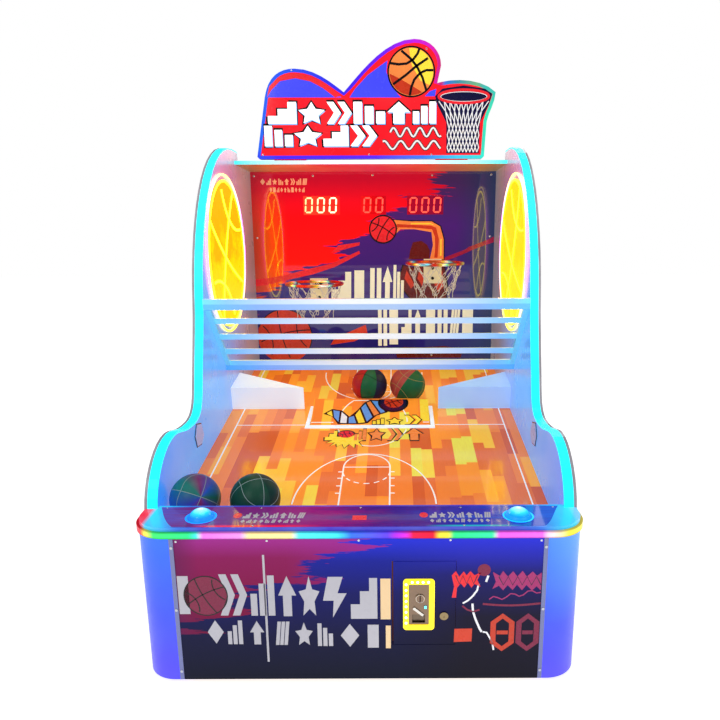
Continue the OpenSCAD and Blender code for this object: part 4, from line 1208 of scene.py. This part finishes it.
# ---------------------------------------------------------------- discs, ring lights, wall plates
ring_light = lamp("ring_light", [(0.0, 255, 220, 60), (0.35, 240, 120, 200), (0.7, 215, 120, 240),
                                 (1.0, 255, 230, 80)], 2, 0.87, 1.5, 3.5)
seam_light = lamp("disc_seam_light", [(0.0, 255, 235, 30), (1.0, 255, 228, 36)], 2, 0.9, 1.5, 7.0)
for side, tag in ((-1, "left"), (1, "right")):
    wall = on_wall(side)
    path = [wall(u, v, 5) for u, v in ring(DISC_Y, DISC_Z, RING_LIGHT_R, n=128)]
    tubes(f"ring_light_{tag}", [path], 0.0035, ring_light, "cabinet", closed=True)
    face = on_wall(side, 6)
    seams = Shapes(face, 2.0)
    for p in ball_seams(DISC_Y, DISC_Z, DISC_SEAM_R - 1, 62 if side < 0 else 118):
        seams.stroke(p, 9 if side < 0 else 6)
    seams.stroke(ring(DISC_Y, DISC_Z, DISC_SEAM_R, n=96), 8, True)
    seams.make(f"disc_seams_{tag}", seam_light, "cabinet")
    plate = [(531, 556), (556, 592), (606, 580), (630, 534), (600, 510), (548, 516)]
    printed(f"wall_plate_edge_{tag}", wall, ink_navy, "cabinet", [grow(plate, 5)], thick=1.5)
    printed(f"wall_plate_{tag}", wall, film(f"wall_plate_{tag}", S(140, 175, 235), 0.3, 0.4, 0.35), "cabinet",
            [plate], base=1.5, thick=1.5)

# ---------------------------------------------------------------- button glow, coin lights
def button_mat():
    """Start button: white in the middle, then cyan, then blue at the edge."""
    p = Paint("button_light")
    side = p.size(p.x)
    dx, dy = p.math("SUBTRACT", side, BUTTON_X / 1000), p.math("SUBTRACT", p.y, (BUTTON_Y - MID_Y) / 1000)
    r = p.math("SQRT", p.plus(p.mul(dx, dx), p.mul(dy, dy)))
    tone = p.ramp(p.span(r, 0.0, 0.032), [(0.0, 225, 245, 255), (0.3, 140, 225, 255), (0.7, 30, 185, 255),
                                          (1.0, 0, 110, 255)])
    tone = p.tinge(tone, 40, 3, (0.1, 0.4, 1.0), 0.3, 0.7)
    p.set(color=tone, rough=0.12, coat=0.6, coat_rough=0.04, glow=tone, power=1.1)
    return p.m


finish(button_mat(), "start_button_left", "start_button_right")
# A painted ring of the buttons' blue light on the deck, made to glow.
halo = lamp("button_halo", [(0.0, 0, 130, 255), (1.0, 20, 170, 255)], 0, -0.5, 0.5, 1.4)
for side, tag in ((-1, "left"), (1, "right")):
    printed(f"button_halo_{tag}", on_deck, halo, "cabinet",
            strokes=[(ring(side * BUTTON_X, BUTTON_Y, 41, n=48), 5, True)], base=0.5, thick=0.6)

dot = lamp("coin_dots", [(0.0, (1.0, 0.95, 0.75)), (1.0, (1.0, 0.97, 0.8))], 2, 0.15, 0.35, 3.0)
dots = [(129, 182 + 17 * i) for i in range(8)] + [(146 + 15 * i, 308) for i in range(4)]
s = Shapes(lambda u, v, w: on_front(u, v, w + 5), 0.8)
for u, v in dots:
    s.fill(ring(u, v, 3.4, n=14))
s.make("coin_frame_dots", dot, "coin_door")
printed("coin_blue_light", lambda u, v, w: on_front(u, v, w + 3.5),
        lamp("coin_blue", [(0.0, (0.1, 0.7, 1.0)), (1.0, (0.1, 0.8, 1.0))], 2, 0.2, 0.3, 2.5), "coin_door",
        [slab(180, 226, 186, 234)], thick=0.6)
tubes("coin_ring", [[on_front(u, v, 4.2) for u, v in ring(168, 257, 11.5, n=40)]], 0.0016,
      metal("coin_ring_steel", (0.6, 0.5, 0.42), 0.15), "coin_door", closed=True)

# ---------------------------------------------------------------- chain nets
chain = film("chain_steel", S(205, 205, 200), 0.3, 0.3, 0.15, 0.2)


def link(centre, along, across, length, width, r):
    """One oval chain link as a swept loop."""
    along, across = along.normalized(), (across - along * across.dot(along)).normalized()
    path = []
    for i in range(16):
        t = 2 * math.pi * i / 16
        c, q = math.cos(t), math.sin(t)
        path.append(centre + along * (math.copysign(abs(c) ** 0.8, c) * length / 2)
                    + across * (math.copysign(abs(q) ** 0.8, q) * width / 2))
    return tube_mesh(path, r, True, 6)


def chain_net(name, hx, hz, replaced):
    """Open diamonds of long links hung from the rim's hooks, with loose tails."""
    verts, faces = [], []
    n, y0 = 8, HOOP_Y
    levels = [(122, -9), (104, -76), (84, -138), (74, -170)]

    def knot(level, k):
        r, z = levels[level]
        a = 2 * math.pi * (k + 0.5 * (level % 2)) / n
        return row(hx + r * math.cos(a), y0 + r * math.sin(a), hz + z)

    def strand(a, b, count=3):
        d = b - a
        out = (a + b) / 2 - row(hx, y0, hz)
        out.z = 0
        for i in range(count):
            across = out if i % 2 else d.cross(out)
            v, f = link(a + d * ((i + 0.5) / count), d, across, d.length / count * 1.22, 0.0105, 0.0012)
            k = len(verts)
            verts.extend(v)
            faces.extend([[j + k for j in q] for q in f])

    for level in range(2):
        for k in range(n):
            ends = (k, k - 1) if level == 0 else (k, (k + 1) % n)
            for e in ends:
                strand(knot(level, k), knot(level + 1, e))
    for k in range(n):
        strand(knot(2, k), knot(3, k) if k % 2 else knot(2, k) + Vector((0, 0, -0.018)), 2 if k % 2 else 1)
    o = add(name, verts, faces, chain, "cabinet", smooth=True)
    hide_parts(replaced)


chain_net("chain_net_left", -273, 992, "net_left")
chain_net("chain_net_right", 288, 1085, "net_right")

# ---------------------------------------------------------------- balls
def ball_skin(name, stops, mode="CONSTANT"):
    """Pebbled rubber in panels that run from pole to pole."""
    p = Paint(name)
    angle = p.span(p.math("ARCTAN2", p.y, p.x), -math.pi, math.pi)
    tone = p.ramp(angle, stops, mode)
    tone = p.mix(p.span(p.noise(25, 4), 0.3, 0.7, 0.0, 0.25), tone, (0.02, 0.02, 0.02))
    pebble = p.cells(420)
    p.set(color=tone, rough=p.vary(80, 0.38, 0.55), coat=0.15, coat_rough=0.3,
          normal=p.bump(pebble, 0.5, 0.0006))
    return p.m


def ball(name, node, body, skin, seam, turn, r=BALL_R):
    """A ball with raised seams in place of its CAD sphere."""
    lo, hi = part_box(node)
    centre = (lo + hi) / 2
    about_x, about_y, about_z = (Matrix.Rotation(a, 4, axis) for a, axis in zip(turn, "XYZ"))
    spin = about_z @ about_y @ about_x
    bm = bmesh.new()
    bmesh.ops.create_uvsphere(bm, u_segments=96, v_segments=48, radius=r / 1000)
    me = bpy.data.meshes.new(name)
    bm.to_mesh(me)
    bm.free()
    for poly in me.polygons:
        poly.use_smooth = True
    me.materials.append(skin)
    o = bpy.data.objects.new(name, me)
    bpy.context.scene.collection.objects.link(o)
    o.matrix_world = Matrix.Translation(centre) @ spin
    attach(o, body)
    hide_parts(node)
    paths = []
    rr = (r - 0.35) / 1000
    for k in range(4):
        a = math.pi / 4 * k
        if k % 2 == 0:
            pts = [Vector((math.cos(a) * math.cos(t), math.sin(a) * math.cos(t), math.sin(t)))
                   for t in [2 * math.pi * i / 96 for i in range(96)]]
        else:
            s = 1 if k == 1 else -1
            pts = []
            for i in range(96):
                t = 2 * math.pi * i / 96
                v = Vector((math.cos(t), 0.62 * math.sin(t), s * (0.55 + 0.32 * math.cos(2 * t))))
                pts.append(v.normalized())
        paths.append([centre + (spin.to_3x3() @ (v * rr)) for v in pts])
    tubes(name + "_seams", paths, 0.0011, seam, body, closed=True, sides=6)


seam_pale = film("seam_pale", S(150, 170, 170), 0.5, 0.0)
seam_dark = film("seam_dark", S(20, 18, 22), 0.5, 0.0)
seam_gold = film("seam_gold", S(180, 160, 90), 0.4, 0.0)
GREEN = S(20, 110, 60)
ball("ball_one", "ball_1", "ball_1", ball_skin("skin_many", [(0.0, 20, 120, 150), (0.16, 60, 70, 190),
        (0.3, 150, 35, 100), (0.42, 90, 60, 170), (0.55, 20, 110, 85), (0.68, 20, 90, 200),
        (0.82, 130, 40, 110), (0.92, 30, 130, 120)], "LINEAR"), seam_pale, (1.1, 0.5, 0.3))
ball("ball_two", "ball_2", "ball_2", ball_skin("skin_green",
        [(0.0, 10, 80, 60), (0.3, 8, 62, 52), (0.7, 14, 74, 44)]), seam_pale, (0.35, 0.2, 0.5))
ball("ball_three", "ball_3", "ball_3", ball_skin("skin_panels",
        [(0.0, GREEN), (0.14, 28, 30, 66), (0.3, 190, 25, 30), (0.42, 170, 150, 40), (0.55, GREEN),
         (0.68, 28, 30, 66), (0.84, 200, 25, 30)]), seam_dark, (0.1, 0.15, 1.1))
ball("ball_four", "ball_4", "ball_4", ball_skin("skin_green_red",
        [(0.0, GREEN), (0.35, 30, 130, 80), (0.6, 200, 80, 70), (0.8, GREEN)]), seam_gold, (0.5, -0.4, 2.4))

# ---------------------------------------------------------------- stage, lights, camera
def stage_floor():
    """Plain near-white floor."""
    p = Paint("stage_floor")
    tone = p.mix(p.noise(3, 3), (0.86, 0.86, 0.87), (0.9, 0.9, 0.9))
    p.set(color=tone, rough=0.7, glow=(1, 1, 1), power=0.74)
    return p.m


bm = bmesh.new()
bmesh.ops.create_grid(bm, x_segments=2, y_segments=2, size=14)
me = bpy.data.meshes.new("floor")
bm.to_mesh(me)
bm.free()
me.materials.append(stage_floor())
floor = bpy.data.objects.new("floor", me)
bpy.context.scene.collection.objects.link(floor)
floor.location = (0, 0, -0.0005)

world = bpy.data.worlds.new("studio")
bpy.context.scene.world = world
world.use_nodes = True
wn, wl = world.node_tree.nodes, world.node_tree.links
wn.clear()
w_out = wn.new("ShaderNodeOutputWorld")
seen, lights_up, dim = (wn.new("ShaderNodeBackground") for i in range(3))
for sky, color, power in ((seen, (1, 1, 1), 1.0), (lights_up, (0.95, 0.97, 1), 0.34),
                          (dim, (0.9, 0.93, 1), 0.08)):
    sky.inputs[0].default_value, sky.inputs[1].default_value = (*color, 1), power
mixer, gloss = wn.new("ShaderNodeMixShader"), wn.new("ShaderNodeMixShader")
path = wn.new("ShaderNodeLightPath")
wl.new(path.outputs["Is Glossy Ray"], gloss.inputs[0])
wl.new(lights_up.outputs[0], gloss.inputs[1])
wl.new(dim.outputs[0], gloss.inputs[2])
wl.new(path.outputs["Is Camera Ray"], mixer.inputs[0])
wl.new(gloss.outputs[0], mixer.inputs[1])
wl.new(seen.outputs[0], mixer.inputs[2])
wl.new(mixer.outputs[0], w_out.inputs[0])


def area(name, place, aim, size, power):
    """A square lamp aimed at a point."""
    d = bpy.data.lights.new(name, "AREA")
    d.shape = "SQUARE"
    d.size, d.energy = size, power
    o = bpy.data.objects.new(name, d)
    bpy.context.scene.collection.objects.link(o)
    o.location = place
    o.rotation_mode = "QUATERNION"
    o.rotation_quaternion = (Vector(aim) - Vector(place)).to_track_quat("-Z", "Y")
    return o


area("key", (-2.2, -4.2, 3.6), (0, 0, 0.9), 2.4, 48)
area("fill", (3.2, -3.2, 2.4), (0, 0, 0.8), 2.4, 30)
area("top", (0, -0.4, 4.2), (0, 0, 0.5), 2.6, 34)
area("back", (0.8, 4.2, 3.0), (0, 0, 1.0), 2.4, 40)

EYE = (0.09974, -1.68162 - MID_Y / 1000, 1.27509 + FOOT_H / 1000)
PITCH, ROLL, YAW = 13.607, -0.19, -0.066
cam_data = bpy.data.cameras.new("camera")
cam_data.sensor_width = 36
cam_data.lens = 33.709
cam_data.shift_x, cam_data.shift_y = -0.04931944444, 0.03391666667
camera = bpy.data.objects.new("camera", cam_data)
bpy.context.scene.collection.objects.link(camera)
camera.location = EYE
camera.rotation_mode = "QUATERNION"
camera.rotation_quaternion = (Matrix.Rotation(math.radians(YAW), 3, "Z")
                              @ Matrix.Rotation(math.radians(90 - PITCH), 3, "X")
                              @ Matrix.Rotation(math.radians(ROLL), 3, "Z")).to_quaternion()
bpy.context.scene.camera = camera
bpy.context.scene.view_settings.view_transform = "Standard"
